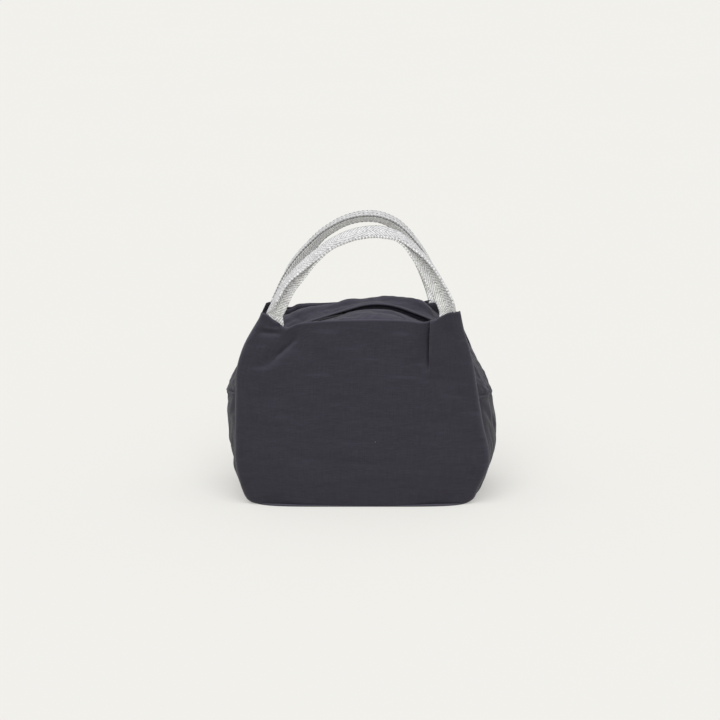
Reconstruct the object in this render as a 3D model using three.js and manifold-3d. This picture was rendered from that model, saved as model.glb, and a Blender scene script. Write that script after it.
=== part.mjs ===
// A small insulated lunch tote: a padded canvas bag with a zipped arch over its top and two folded
// webbing handles.
// Millimetres, +Z up, the front towards -Y. The origin is on the floor under the middle of the bag.
import * as THREE from "three";
import { mergeVertices } from "three/addons/utils/BufferGeometryUtils.js";
import Module from "manifold-3d";

// Outline of the front and back panels, seen from the front
const PANEL_FOOT_WIDTH = 224;
const PANEL_FULL_WIDTH = 234;
const PANEL_FULL_HEIGHT = 48;
const PANEL_SHOULDER_WIDTH = 205;
const PANEL_TOP_HEIGHT = 171;
const SHOULDER_DROP = 25;
const EAR_TIP_WIDTH = 179;
const EAR_RISE = 5;
const EAR_SLOPE = 12;
const FOOT_CORNER_RADIUS = 17;

// Side view of the panels: they stand wide at the floor and lean in towards the zip
const BAG_DEPTH = 120;
const FOOT_SETBACK = 3.2;
const DEPTH_FULL_HEIGHT = 34;
const BELLY_HEIGHT = 105;
const BELLY_DEPTH = 102;
const MOUTH_DEPTH = 73;
const PANEL_CROWN = 4;

// The side gussets bulge past the panels, up to the seam at mid height where the zipped arch starts
const GUSSET_BULGE = 8;
const GUSSET_FULL_HEIGHT = 62;
const GUSSET_FOOT_TUCK = 4;
const ARCH_SIDE_BULGE = 3.1;
const ARCH_RISE = 3;
const SIDE_SEAM_ANGLE = 64;
const FRONT_PLACKET_CROWN = 2;
const BACK_PLACKET_CROWN = 6;
const PLACKET_EASE = 1.5;
const EAR_SOFTNESS = 16;

// Cloth, padding and their running gaps
const CANVAS = 1;
const PADDING = 3.5;
const TOP_PADDING = 2.3;
const LINING = 0.5;
const GAP = 0.3;
const LAYER_GAP = 0.6;
const SEAM_GAP = 0.9;
const SEAM_MARGIN = 1.3;
const MOUTH_MARGIN = 6.3;
const LIP_PADDING_START = 0.25;
const FLOOR_LIFT = 0.8;
const BASE_BOARD = 2;
const BASE_BOARD_MARGIN = 3;

// Zip
const VALLEY_CLEARANCE = 0.6;
const TAPE_WIDTH = 11;
const TAPE_THICKNESS = 0.8;
const COIL_WIDTH = 2;
const COIL_HEIGHT = 2.2;
const COIL_END_ANGLE = 62.2;
const STOP_LENGTH = 2.2;
const SLIDER_LENGTH = 11;
const SLIDER_WIDTH = 8.8;
const SLIDER_PLATE = 1.2;
const SLIDER_POST_WIDTH = 0.8;
const SLIDER_POST_LENGTH = 3.6;
const SLIDER_NOSE_SHARE = 0.7;
const SLIDER_REST_ANGLE = 54;
const BRIDGE_LENGTH = 7;
const BRIDGE_WIDTH = 1.8;
const BRIDGE_BAR = 1;
const BRIDGE_WINDOW = 2.2;
const PULL_LENGTH = 20;
const PULL_WIDTH = 6;
const PULL_THICKNESS = 1.2;
const PULL_CROSSBAR = 1.4;
const PULL_WINDOW_MARGIN = 1.7;

// Handles: one webbing strap each, folded lengthwise with the crease outside
const STRAP_FLAP = 14;
const STRAP_THICKNESS = 1.8;
const FOLD_HALF_GAP = 0.3;
const HANDLE_EDGE_INSET = 1;
const HANDLE_RISE = 86;
const HANDLE_APEX_SHIFT = 11;
const LEFT_LEG_ANGLE = 61;
const LEFT_LEG_REACH = 45;
const LEFT_CROWN_REACH = 50;
const RIGHT_LEG_ANGLE = 72;
const RIGHT_LEG_REACH = 52;
const RIGHT_CROWN_REACH = 42;
const HANDLE_FORWARD = 1;
const LEG_SPLAY_ANGLE = 26;
const GRIP_SHARE = 0.34;

// How finely the curved sheets are divided
const PANEL_COLUMNS = 16;
const PANEL_ROWS = 12;
const LAYER_COLUMNS = 12;
const LAYER_ROWS = 8;
const GUSSET_COLUMNS = 8;
const GUSSET_ROWS = 9;
const GUSSET_LAYER_ROWS = 7;
const ARCH_STEPS = 34;
const LIP_STEPS = 5;
const LIP_PADDING_STEPS = 3;
const LIP_LINING_STEPS = 2;
const STRAP_STEPS = 44;
const PULL_END_STEPS = 8;
const FLOOR_ROW_SHARE = 0.3;
const HALVINGS = 40;
const SLOPE_STEP = 1e-3;

const radians = THREE.MathUtils.degToRad;
const smoothstep = THREE.MathUtils.smoothstep;
const SEAM_ANGLE = radians(SIDE_SEAM_ANGLE);
const ARCH_RADIUS = (PANEL_FULL_WIDTH / 2 + ARCH_SIDE_BULGE) / Math.sin(SEAM_ANGLE);
const ARCH_CENTRE_HEIGHT = PANEL_TOP_HEIGHT + ARCH_RISE - ARCH_RADIUS;
const VALLEY_HALF_WIDTH = SLIDER_WIDTH / 2 + VALLEY_CLEARANCE;
const COIL_HALF_GAP = SLIDER_POST_WIDTH / 2 + GAP;
const EAR_FLAT = STRAP_FLAP + HANDLE_EDGE_INSET;

// Depth of each layer under the outer face, and of the whole wall
const PADDING_DEPTH = CANVAS + LAYER_GAP;
const LINING_DEPTH = PADDING_DEPTH + PADDING + LAYER_GAP;
const WALL = LINING_DEPTH + LINING;
const TOP_LINING_DEPTH = PADDING_DEPTH + TOP_PADDING + LAYER_GAP;
const TAPE_DEPTH = PADDING_DEPTH + TOP_PADDING + GAP;

const wasm = await Module();
wasm.setup();

// A smooth curve through a few knots [position, value], with its value carried on past both ends.
function through(knots, position) {
  const last = knots.length - 1;
  const slope = (i) => {
    const before = knots[Math.max(i - 1, 0)];
    const after = knots[Math.min(i + 1, last)];
    return (after[1] - before[1]) / (after[0] - before[0]);
  };
  if (position <= knots[0][0]) return knots[0][1] + slope(0) * (position - knots[0][0]);
  if (position >= knots[last][0]) return knots[last][1] + slope(last) * (position - knots[last][0]);
  const i = knots.findIndex((knot) => knot[0] > position) - 1;
  const span = knots[i + 1][0] - knots[i][0];
  const t = (position - knots[i][0]) / span;
  const start = knots[i][1] * (1 + 2 * t) * (1 - t) ** 2 + slope(i) * span * t * (1 - t) ** 2;
  const end = knots[i + 1][1] * (3 - 2 * t) * t ** 2 - slope(i + 1) * span * (1 - t) * t ** 2;
  return start + end;
}

// Half the panel's width at a height, with its rounded corner at the floor.
function panelHalfWidth(z) {
  const width = through(
    [
      [0, PANEL_FOOT_WIDTH / 2],
      [PANEL_FULL_HEIGHT, PANEL_FULL_WIDTH / 2],
      [PANEL_TOP_HEIGHT - SHOULDER_DROP, PANEL_SHOULDER_WIDTH / 2],
      [PANEL_TOP_HEIGHT + EAR_RISE, EAR_TIP_WIDTH / 2],
    ],
    z,
  );
  const intoCorner = Math.max(0, 1 - z / FOOT_CORNER_RADIUS);
  return width - FOOT_CORNER_RADIUS * (1 - Math.sqrt(1 - intoCorner ** 2));
}

// Height of the panel's top edge, which rises to an ear at each end where a handle is sewn in.
function panelTop(x) {
  const flatStart = EAR_TIP_WIDTH / 2 - EAR_FLAT;
  return PANEL_TOP_HEIGHT + EAR_RISE * smoothstep(Math.abs(x), flatStart - EAR_SLOPE, flatStart);
}

// Distance of the panel's outer face from the middle plane of the bag.
function panelDepth(x, z) {
  const middle = through(
    [
      [0, BAG_DEPTH / 2 - FOOT_SETBACK],
      [DEPTH_FULL_HEIGHT, BAG_DEPTH / 2],
      [BELLY_HEIGHT, BELLY_DEPTH / 2],
      [PANEL_TOP_HEIGHT, MOUTH_DEPTH / 2],
    ],
    z,
  );
  const across = x / panelHalfWidth(z);
  const crown = PANEL_CROWN * Math.max(0, 1 - (z / PANEL_TOP_HEIGHT) ** 2);
  return middle - crown * across ** 2;
}

const earedTop = (u) => panelTop((u * EAR_TIP_WIDTH) / 2);
const mouthTop = () => PANEL_TOP_HEIGHT - WALL - MOUTH_MARGIN;
const edgeDepth = (z) => panelDepth(panelHalfWidth(z), z);

// Radius from the arch's centre to the panel's outline, at an angle from the vertical. The ear's corner
// is softened.
function outlineRadius(angle) {
  const turn = Math.abs(angle);
  const top = (PANEL_TOP_HEIGHT - ARCH_CENTRE_HEIGHT) / Math.cos(turn);
  let near = 0;
  let far = PANEL_FULL_WIDTH;
  for (let i = 0; i < HALVINGS; i++) {
    const r = (near + far) / 2;
    const inside = r * Math.sin(turn) < panelHalfWidth(ARCH_CENTRE_HEIGHT + r * Math.cos(turn));
    if (inside) near = r;
    else far = r;
  }
  return (top ** -EAR_SOFTNESS + near ** -EAR_SOFTNESS) ** (-1 / EAR_SOFTNESS);
}

// Share of the height at a row. Rows lie closer together near the floor, where the walls turn under.
const rowHeight = (v) => v * (FLOOR_ROW_SHARE + (1 - FLOOR_ROW_SHARE) * v);

// Outer surface of a panel. side is -1 for the front and 1 for the back, u runs from -1 to 1 across,
// v from 0 to 1 up.
function panelSurface(side, margin, floor, top) {
  return (u, v) => {
    const z = floor + rowHeight(v) * (top(u) - floor);
    const x = u * (panelHalfWidth(z) - margin);
    return new THREE.Vector3(x, side * panelDepth(x, z), z);
  };
}

// Outer surface of a side gusset. side is -1 for the left and 1 for the right, u runs from the front
// to the back.
function gussetSurface(side, margin, floor) {
  const seamPanelRadius = outlineRadius(SEAM_ANGLE);
  const seamX = ARCH_RADIUS * Math.sin(SEAM_ANGLE);
  const seamZ = ARCH_CENTRE_HEIGHT + ARCH_RADIUS * Math.cos(SEAM_ANGLE);
  const middleLine = [
    [0, PANEL_FOOT_WIDTH / 2 - GUSSET_FOOT_TUCK],
    [GUSSET_FULL_HEIGHT, PANEL_FULL_WIDTH / 2 + GUSSET_BULGE],
    [seamZ, seamX],
  ];
  return (u, v) => {
    const bulge = 1 - u ** 2;
    const seamRadius = seamPanelRadius + (ARCH_RADIUS - seamPanelRadius) * bulge;
    const top = ARCH_CENTRE_HEIGHT + seamRadius * Math.cos(SEAM_ANGLE) - SEAM_GAP;
    const z = floor + rowHeight(v) * (top - floor);
    const edge = panelHalfWidth(z);
    const x = edge + (through(middleLine, z) - edge) * bulge;
    return new THREE.Vector3(side * x, u * (edgeDepth(z) - margin), z);
  };
}

// Outer surface of the zipped arch, front or back half. u runs along the arch, v from the panel's seam
// to the lip.
function placketSurface(side, from, to) {
  const endAngle = SEAM_ANGLE - SEAM_GAP / ARCH_RADIUS;
  const crown = side < 0 ? FRONT_PLACKET_CROWN : BACK_PLACKET_CROWN;
  return (u, v) => {
    const angle = u * endAngle;
    const t = from + v * (to - from);
    const seamRadius = outlineRadius(angle) - CANVAS - GAP;
    const seamHeight = ARCH_CENTRE_HEIGHT + seamRadius * Math.cos(angle);
    const seamDepth = panelDepth(seamRadius * Math.sin(angle), seamHeight) - CANVAS - SEAM_GAP;
    const ease = 1 - Math.max(0, 1 - t) ** PLACKET_EASE;
    const radius = seamRadius + (ARCH_RADIUS - seamRadius) * ease + crown * Math.sin(Math.PI * t);
    const depth = seamDepth + (VALLEY_HALF_WIDTH - seamDepth) * t;
    const x = radius * Math.sin(angle);
    return new THREE.Vector3(x, side * depth, ARCH_CENTRE_HEIGHT + radius * Math.cos(angle));
  };
}

// Share of the way from the seam to the lip at a distance short of the lip, on top of the bag.
const shareBeforeLip = (distance) => 1 - distance / (MOUTH_DEPTH / 2 - VALLEY_HALF_WIDTH);

// A closed body from points and triangles, with its faces turned outwards.
function closedBody(points, triangles) {
  let volume = 0;
  for (const [a, b, c] of triangles) {
    volume += points[a].dot(points[b].clone().cross(points[c]));
  }
  const index = triangles.flatMap(([a, b, c]) => (volume > 0 ? [a, b, c] : [a, c, b]));
  const geometry = new THREE.BufferGeometry().setFromPoints(points);
  geometry.setIndex(index);
  geometry.computeVertexNormals();
  return geometry;
}

// A cloth layer: the closed body between two depths under a surface.
function layer(surface, columns, rows, outerDepth, innerDepth) {
  const middle = new THREE.Vector3(0, 0, ARCH_CENTRE_HEIGHT);
  const below = (u, v, depth) => {
    const point = surface(u, v);
    const along = surface(u + SLOPE_STEP, v).sub(surface(u - SLOPE_STEP, v));
    const up = surface(u, v + SLOPE_STEP).sub(surface(u, v - SLOPE_STEP));
    const normal = along.cross(up).normalize();
    const outward = normal.dot(point.clone().sub(middle)) > 0 ? 1 : -1;
    return point.addScaledVector(normal, -outward * depth);
  };
  const points = [];
  for (const depth of [outerDepth, innerDepth]) {
    for (let j = 0; j <= rows; j++) {
      for (let i = 0; i <= columns; i++) points.push(below((2 * i) / columns - 1, j / rows, depth));
    }
  }
  const half = points.length / 2;
  const at = (i, j) => j * (columns + 1) + i;
  const triangles = [];
  const quad = (a, b, c, d) => triangles.push([a, b, c], [a, c, d]);
  for (let j = 0; j < rows; j++) {
    for (let i = 0; i < columns; i++) {
      quad(at(i, j), at(i + 1, j), at(i + 1, j + 1), at(i, j + 1));
      quad(half + at(i, j), half + at(i, j + 1), half + at(i + 1, j + 1), half + at(i + 1, j));
    }
  }
  const rim = [];
  for (let i = 0; i < columns; i++) rim.push(at(i, 0));
  for (let j = 0; j < rows; j++) rim.push(at(columns, j));
  for (let i = columns; i > 0; i--) rim.push(at(i, rows));
  for (let j = rows; j > 0; j--) rim.push(at(0, j));
  rim.forEach((a, i) => {
    const b = rim[(i + 1) % rim.length];
    quad(b, a, half + a, half + b);
  });
  return closedBody(points, triangles);
}

// A flat slab that fits inside the walls at the floor, between two heights.
function floorSlab(inset, bottom, top) {
  const front = panelSurface(-1, 0, FLOOR_LIFT, earedTop);
  const right = gussetSurface(1, 0, FLOOR_LIFT);
  const corners = [];
  for (let i = 0; i < PANEL_COLUMNS; i++) corners.push(front((2 * i) / PANEL_COLUMNS - 1, 0));
  for (let i = 0; i < GUSSET_COLUMNS; i++) corners.push(right((2 * i) / GUSSET_COLUMNS - 1, 0));
  const outline = corners.concat(corners.map((p) => new THREE.Vector3(-p.x, -p.y, p.z)));
  const inner = outline.map((p, i) => {
    const before = outline[(i + outline.length - 1) % outline.length];
    const after = outline[(i + 1) % outline.length];
    const inward = new THREE.Vector2(before.y - after.y, after.x - before.x).normalize();
    return new THREE.Vector2(p.x, p.y).addScaledVector(inward, inset);
  });
  const shape = new THREE.Shape(inner);
  const slab = new THREE.ExtrudeGeometry(shape, { depth: top - bottom, bevelEnabled: false });
  return slab.translate(0, 0, bottom);
}

// A bar of constant section bent along the arch, between two angles. The section is given in depth
// and radius.
function archBar(side, nearDepth, farDepth, lowRadius, highRadius, fromAngle, toAngle) {
  const span = Math.abs(toAngle - fromAngle);
  const steps = Math.max(1, Math.ceil((ARCH_STEPS * span) / (2 * SEAM_ANGLE)));
  const rings = [];
  for (let i = 0; i <= steps; i++) {
    const angle = fromAngle + ((toAngle - fromAngle) * i) / steps;
    const at = (depth, radius) =>
      new THREE.Vector3(
        radius * Math.sin(angle),
        side * depth,
        ARCH_CENTRE_HEIGHT + radius * Math.cos(angle),
      );
    rings.push([
      at(nearDepth, lowRadius),
      at(farDepth, lowRadius),
      at(farDepth, highRadius),
      at(nearDepth, highRadius),
    ]);
  }
  return loft(rings, [[0, 1, 2, 3]]);
}

// A closed body through a row of rings. capQuads splits each end ring into quads.
function loft(rings, capQuads) {
  const count = rings[0].length;
  const points = rings.flat();
  const triangles = [];
  for (let j = 0; j + 1 < rings.length; j++) {
    for (let i = 0; i < count; i++) {
      const a = j * count + i;
      const b = j * count + ((i + 1) % count);
      triangles.push([a, b, b + count], [a, b + count, a + count]);
    }
  }
  const last = (rings.length - 1) * count;
  for (const [a, b, c, d] of capQuads) {
    triangles.push([a, c, b], [a, d, c]);
    triangles.push([last + a, last + b, last + c], [last + a, last + c, last + d]);
  }
  return closedBody(points, triangles);
}

// One solid from several that overlap.
function joined(geometries) {
  const solids = geometries.map((geometry) => {
    const bare = geometry.clone();
    bare.deleteAttribute("normal");
    bare.deleteAttribute("uv");
    const merged = mergeVertices(bare);
    const vertProperties = Float32Array.from(merged.attributes.position.array);
    const triVerts = Uint32Array.from(merged.index.array);
    return new wasm.Manifold(new wasm.Mesh({ numProp: 3, vertProperties, triVerts }));
  });
  const mesh = solids.reduce((whole, solid) => whole.add(solid)).getMesh();
  const geometry = new THREE.BufferGeometry();
  const positions = Float32Array.from(mesh.vertProperties);
  geometry.setAttribute("position", new THREE.BufferAttribute(positions, 3));
  geometry.setIndex(Array.from(mesh.triVerts));
  geometry.computeVertexNormals();
  return geometry;
}

// Half of a handle's arch, from its foot on the ear to the apex.
function leg(side, angle, legReach, crownReach, foot) {
  const start = new THREE.Vector2(side * (EAR_TIP_WIDTH / 2 - HANDLE_EDGE_INSET), foot);
  const apex = new THREE.Vector2(HANDLE_APEX_SHIFT, foot + HANDLE_RISE);
  const lean = new THREE.Vector2(-side * Math.cos(radians(angle)), Math.sin(radians(angle)));
  const nearFoot = start.clone().addScaledVector(lean, legReach);
  const nearApex = new THREE.Vector2(apex.x + side * crownReach, apex.y);
  return new THREE.CubicBezierCurve(start, nearFoot, nearApex, apex);
}

// Handle: the crease follows a rounded arch, and both flaps hang inwards from it, but not below the
// foot. They close at the grip and the ears.
function handleGeometry(side) {
  const foot = PANEL_TOP_HEIGHT + EAR_RISE + GAP;
  const depth = side * (MOUTH_DEPTH / 2 + HANDLE_FORWARD);
  const leftLeg = leg(-1, LEFT_LEG_ANGLE, LEFT_LEG_REACH, LEFT_CROWN_REACH, foot);
  const rightLeg = leg(1, RIGHT_LEG_ANGLE, RIGHT_LEG_REACH, RIGHT_CROWN_REACH, foot);
  const crease = (share) => (share < 0.5 ? leftLeg.getPoint(2 * share) : rightLeg.getPoint(2 - 2 * share));
  const rings = [];
  for (let i = 0; i <= STRAP_STEPS; i++) {
    const share = i / STRAP_STEPS;
    const point = crease(share);
    const ahead = crease(Math.min(1, share + SLOPE_STEP));
    const behind = crease(Math.max(0, share - SLOPE_STEP));
    const along = ahead.sub(behind).normalize();
    const inward = new THREE.Vector2(along.y, -along.x);
    const lowest = (foot - point.y) / STRAP_FLAP;
    if (inward.y < lowest) inward.set(Math.sign(inward.x) * Math.sqrt(1 - lowest ** 2), lowest);
    const legShare = Math.min(share, 1 - share) / ((1 - GRIP_SHARE) / 2);
    const splay = radians(LEG_SPLAY_ANGLE) * Math.sin(Math.PI * Math.min(1, legShare)) ** 2;
    const outerHalf = STRAP_THICKNESS + FOLD_HALF_GAP;
    const at = (down, out) =>
      new THREE.Vector3(point.x + inward.x * down, depth + out, point.y + inward.y * down);
    const tip = [STRAP_FLAP * Math.cos(splay), outerHalf + STRAP_FLAP * Math.sin(splay)];
    const innerTip = [
      tip[0] + STRAP_THICKNESS * Math.sin(splay),
      tip[1] - STRAP_THICKNESS * Math.cos(splay),
    ];
    rings.push([
      at(0, -outerHalf),
      at(tip[0], -tip[1]),
      at(innerTip[0], -innerTip[1]),
      at(STRAP_THICKNESS, -FOLD_HALF_GAP),
      at(STRAP_THICKNESS, FOLD_HALF_GAP),
      at(innerTip[0], innerTip[1]),
      at(tip[0], tip[1]),
      at(0, outerHalf),
    ]);
  }
  const capQuads = [
    [0, 1, 2, 3],
    [0, 3, 4, 7],
    [4, 5, 6, 7],
  ];
  return loft(rings, capQuads);
}

const material = (color, roughness, metalness = 0) =>
  new THREE.MeshStandardMaterial({ color, roughness, metalness });
const canvas = () => material("#3e3c46", 0.92);
const padding = () => material("#e9e7e0", 0.95);
const lining = () => material("#c4c8cc", 0.35, 0.6);
const webbing = () => material("#c9c9cc", 0.9);
const tape = () => material("#26252c", 0.9);
const nylon = () => material("#201f25", 0.55);
const darkMetal = () => material("#35343a", 0.35, 0.9);
const board = () => material("#d8d6cf", 0.6);

const bag = new THREE.Group();

function add(name, geometry, finish, parent = bag) {
  const mesh = new THREE.Mesh(geometry, finish);
  mesh.name = name;
  parent.add(mesh);
}

// Base: the canvas the bag stands on, a stiff board, padding and lining
const boardBottom = CANVAS + GAP;
const basePaddingBottom = boardBottom + BASE_BOARD + GAP;
const baseLiningBottom = basePaddingBottom + PADDING + GAP;
const baseTop = baseLiningBottom + LINING;
add("base_panel", floorSlab(CANVAS + GAP, 0, CANVAS), canvas());
add("base_board", floorSlab(BASE_BOARD_MARGIN, boardBottom, boardBottom + BASE_BOARD), board());
add(
  "base_insulation",
  floorSlab(BASE_BOARD_MARGIN, basePaddingBottom, basePaddingBottom + PADDING),
  padding(),
);
add("base_lining", floorSlab(BASE_BOARD_MARGIN, baseLiningBottom, baseTop), lining());

// Lower face of the zip coils, which lie level with the tape
const coilLow = ARCH_RADIUS - TAPE_DEPTH - (TAPE_THICKNESS + COIL_HEIGHT) / 2;

// Front and back walls, each a panel with its padding and lining and its half of the zipped arch
const wallFloor = baseTop + GAP;
const halves = [
  ["front", -1],
  ["back", 1],
];
for (const [half, side] of halves) {
  const outer = panelSurface(side, 0, FLOOR_LIFT, earedTop);
  const inner = panelSurface(side, WALL + SEAM_MARGIN, wallFloor, mouthTop);
  add(`${half}_panel`, layer(outer, PANEL_COLUMNS, PANEL_ROWS, 0, CANVAS), canvas());
  add(
    `${half}_insulation`,
    layer(inner, LAYER_COLUMNS, LAYER_ROWS, PADDING_DEPTH, PADDING_DEPTH + PADDING),
    padding(),
  );
  add(
    `${half}_lining`,
    layer(inner, LAYER_COLUMNS, LAYER_ROWS, LINING_DEPTH, LINING_DEPTH + LINING),
    lining(),
  );

  const lip = placketSurface(side, 0, 1);
  const lipPadding = placketSurface(side, LIP_PADDING_START, shareBeforeLip(GAP));
  const lipLining = placketSurface(side, LIP_PADDING_START, shareBeforeLip(TAPE_WIDTH - SEAM_GAP));
  add(`${half}_top_placket`, layer(lip, ARCH_STEPS, LIP_STEPS, 0, CANVAS), canvas());
  add(
    `${half}_top_insulation`,
    layer(lipPadding, ARCH_STEPS, LIP_PADDING_STEPS, PADDING_DEPTH, PADDING_DEPTH + TOP_PADDING),
    padding(),
  );
  add(
    `${half}_top_lining`,
    layer(lipLining, ARCH_STEPS, LIP_LINING_STEPS, TOP_LINING_DEPTH, TOP_LINING_DEPTH + LINING),
    lining(),
  );

  const tapeNear = COIL_HALF_GAP + COIL_WIDTH + GAP;
  const tapeHigh = ARCH_RADIUS - TAPE_DEPTH;
  const tapeLow = tapeHigh - TAPE_THICKNESS;
  const coilEnd = radians(COIL_END_ANGLE);
  add(
    `${half}_zip_tape`,
    archBar(side, tapeNear, tapeNear + TAPE_WIDTH, tapeLow, tapeHigh, -coilEnd, coilEnd),
    tape(),
  );
  add(
    `${half}_zip_coil`,
    archBar(
      side,
      COIL_HALF_GAP,
      COIL_HALF_GAP + COIL_WIDTH,
      coilLow,
      coilLow + COIL_HEIGHT,
      -coilEnd,
      coilEnd,
    ),
    nylon(),
  );
  add(`${half}_handle`, handleGeometry(side), webbing());
}

// Side gussets below the arch, with their padding and lining butted against the walls' own
const sides = [
  ["left", -1],
  ["right", 1],
];
for (const [name, side] of sides) {
  const outer = gussetSurface(side, CANVAS + SEAM_GAP, FLOOR_LIFT);
  const inner = gussetSurface(side, WALL + SEAM_GAP, wallFloor);
  add(`${name}_gusset`, layer(outer, GUSSET_COLUMNS, GUSSET_ROWS, 0, CANVAS), canvas());
  add(
    `${name}_insulation`,
    layer(inner, GUSSET_COLUMNS, GUSSET_LAYER_ROWS, PADDING_DEPTH, PADDING_DEPTH + PADDING),
    padding(),
  );
  add(
    `${name}_lining`,
    layer(inner, GUSSET_COLUMNS, GUSSET_LAYER_ROWS, LINING_DEPTH, LINING_DEPTH + LINING),
    lining(),
  );
}

// Zip stops, one past each end of the coils
for (const [name, side] of sides) {
  const from = side * (radians(COIL_END_ANGLE) + GAP / ARCH_RADIUS);
  const to = from + side * (STOP_LENGTH / ARCH_RADIUS);
  const halfWidth = COIL_HALF_GAP + COIL_WIDTH;
  add(
    `${name}_zip_stop`,
    archBar(1, -halfWidth, halfWidth, coilLow, coilLow + COIL_HEIGHT, from, to),
    darkMetal(),
  );
}

// Slider and pull, drawn at the top of the arch and turned to the slider's place on it
const plateGap = COIL_HEIGHT + 2 * GAP;
const lowerPlateTop = coilLow - GAP;
const upperPlateBottom = lowerPlateTop + plateGap;
const upperPlateTop = upperPlateBottom + SLIDER_PLATE;

function sliderPlate(bottom) {
  const nose = SLIDER_LENGTH / 2;
  const half = SLIDER_WIDTH / 2;
  const outline = new THREE.Shape();
  outline.moveTo(-nose, -half * SLIDER_NOSE_SHARE);
  outline.lineTo(0, -half);
  outline.lineTo(nose, -half);
  outline.lineTo(nose, half);
  outline.lineTo(0, half);
  outline.lineTo(-nose, half * SLIDER_NOSE_SHARE);
  outline.closePath();
  const plate = new THREE.ExtrudeGeometry(outline, { depth: SLIDER_PLATE, bevelEnabled: false });
  return plate.translate(0, 0, bottom);
}

function box(length, width, bottom, top, x) {
  return new THREE.BoxGeometry(length, width, top - bottom).translate(x, 0, (top + bottom) / 2);
}

function sliderGeometry() {
  const bite = SLIDER_PLATE / 2;
  const barBottom = upperPlateTop + BRIDGE_WINDOW;
  const legX = (BRIDGE_LENGTH - BRIDGE_BAR) / 2;
  return joined([
    sliderPlate(lowerPlateTop - SLIDER_PLATE),
    sliderPlate(upperPlateBottom),
    box(SLIDER_POST_LENGTH, SLIDER_POST_WIDTH, lowerPlateTop - bite, upperPlateBottom + bite, 0),
    box(BRIDGE_LENGTH, BRIDGE_WIDTH, barBottom, barBottom + BRIDGE_BAR, 0),
    box(BRIDGE_BAR, BRIDGE_WIDTH, upperPlateTop - bite, barBottom + bite, legX),
    box(BRIDGE_BAR, BRIDGE_WIDTH, upperPlateTop - bite, barBottom + bite, -legX),
  ]);
}

// The pull: a tab whose crossbar turns under the bridge, with a window that clears the bridge's leg.
function pullGeometry() {
  const half = PULL_WIDTH / 2;
  const start = -PULL_CROSSBAR / 2;
  const end = PULL_LENGTH - half;
  const outline = new THREE.Shape();
  outline.moveTo(start, -half);
  outline.lineTo(end, -half);
  outline.absarc(end, 0, half, -Math.PI / 2, Math.PI / 2, false);
  outline.lineTo(start, half);
  outline.closePath();
  const windowHalf = BRIDGE_WIDTH / 2 + 2 * GAP;
  const windowEnd = BRIDGE_LENGTH / 2 + PULL_WINDOW_MARGIN;
  const window = new THREE.Path();
  window.moveTo(-start, -windowHalf);
  window.lineTo(windowEnd, -windowHalf);
  window.lineTo(windowEnd, windowHalf);
  window.lineTo(-start, windowHalf);
  window.closePath();
  outline.holes.push(window);
  const tab = new THREE.ExtrudeGeometry(outline, {
    depth: PULL_THICKNESS,
    bevelEnabled: false,
    curveSegments: PULL_END_STEPS,
  });
  return tab.translate(0, 0, upperPlateTop + (BRIDGE_WINDOW - PULL_THICKNESS) / 2);
}

const sliderPlace = new THREE.Group();
sliderPlace.position.z = ARCH_CENTRE_HEIGHT;
sliderPlace.rotation.y = radians(SLIDER_REST_ANGLE);
bag.add(sliderPlace);
add("zip_slider", sliderGeometry(), darkMetal(), sliderPlace);
add("zip_pull", pullGeometry(), darkMetal(), sliderPlace);

export default bag;
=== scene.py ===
"""A small insulated lunch tote: dark padded canvas with a zipped arch and two folded webbing handles.

Shapes are worked out in millimetres in the part's frame and turned into metres when a mesh is made.
"""

import math

import bpy
import numpy as np
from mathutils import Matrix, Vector


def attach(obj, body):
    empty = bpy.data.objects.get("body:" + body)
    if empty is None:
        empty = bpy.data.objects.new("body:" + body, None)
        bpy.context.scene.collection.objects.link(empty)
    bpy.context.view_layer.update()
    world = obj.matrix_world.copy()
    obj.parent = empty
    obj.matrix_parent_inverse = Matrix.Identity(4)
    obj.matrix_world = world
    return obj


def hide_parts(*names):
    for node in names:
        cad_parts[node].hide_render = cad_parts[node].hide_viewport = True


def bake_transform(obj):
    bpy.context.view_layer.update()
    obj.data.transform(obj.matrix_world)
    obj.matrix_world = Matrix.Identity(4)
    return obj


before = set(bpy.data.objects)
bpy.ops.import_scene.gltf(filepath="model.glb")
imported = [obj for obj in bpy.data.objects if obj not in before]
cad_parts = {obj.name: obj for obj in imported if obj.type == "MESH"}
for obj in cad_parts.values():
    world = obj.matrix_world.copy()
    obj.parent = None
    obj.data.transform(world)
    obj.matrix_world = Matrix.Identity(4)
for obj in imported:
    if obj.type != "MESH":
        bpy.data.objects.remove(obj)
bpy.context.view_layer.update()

MM = 0.001
FRONT, BACK = -1, 1
LEFT, RIGHT = -1, 1
WALLS = {FRONT: "front_wall", BACK: "back_wall"}
GRIPS = {FRONT: "front_grip", BACK: "back_grip"}
HALF = {FRONT: "front", BACK: "back"}
HAND = {LEFT: "left", RIGHT: "right"}

# The zip's arch, and the angles from the vertical at which its seams, the cover and the zip end
ARCH_RADIUS = 133.6
ARCH_CENTRE = 40.4
ARCH_MIDDLE = np.array([0.0, 0.0, ARCH_CENTRE])
TAPE_RADIUS = ARCH_RADIUS - 4.3
SEAM_END = math.radians(64)
COVER_END = math.radians(65.3)
ZIP_END = math.radians(62.2)

# Side seams: height at the bag's middle, rise towards the panels, and depth at which they meet those
SEAM_HEIGHT = ARCH_CENTRE + ARCH_RADIUS * math.cos(SEAM_END)
SEAM_MIDDLE = {LEFT: SEAM_HEIGHT + 0.7, RIGHT: SEAM_HEIGHT + 0.3}
SEAM_RISE = {LEFT: 5.5, RIGHT: 2.2}
SEAM_DEPTH = 45.5

# Layers of the padded wall: thickness of each, and how deep it lies under the canvas's outer face
CANVAS = 1.1
PADDING_DEPTH = 1.8
PADDING = 3.2
LINING_DEPTH = 5.5
LINING = 0.4

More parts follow.
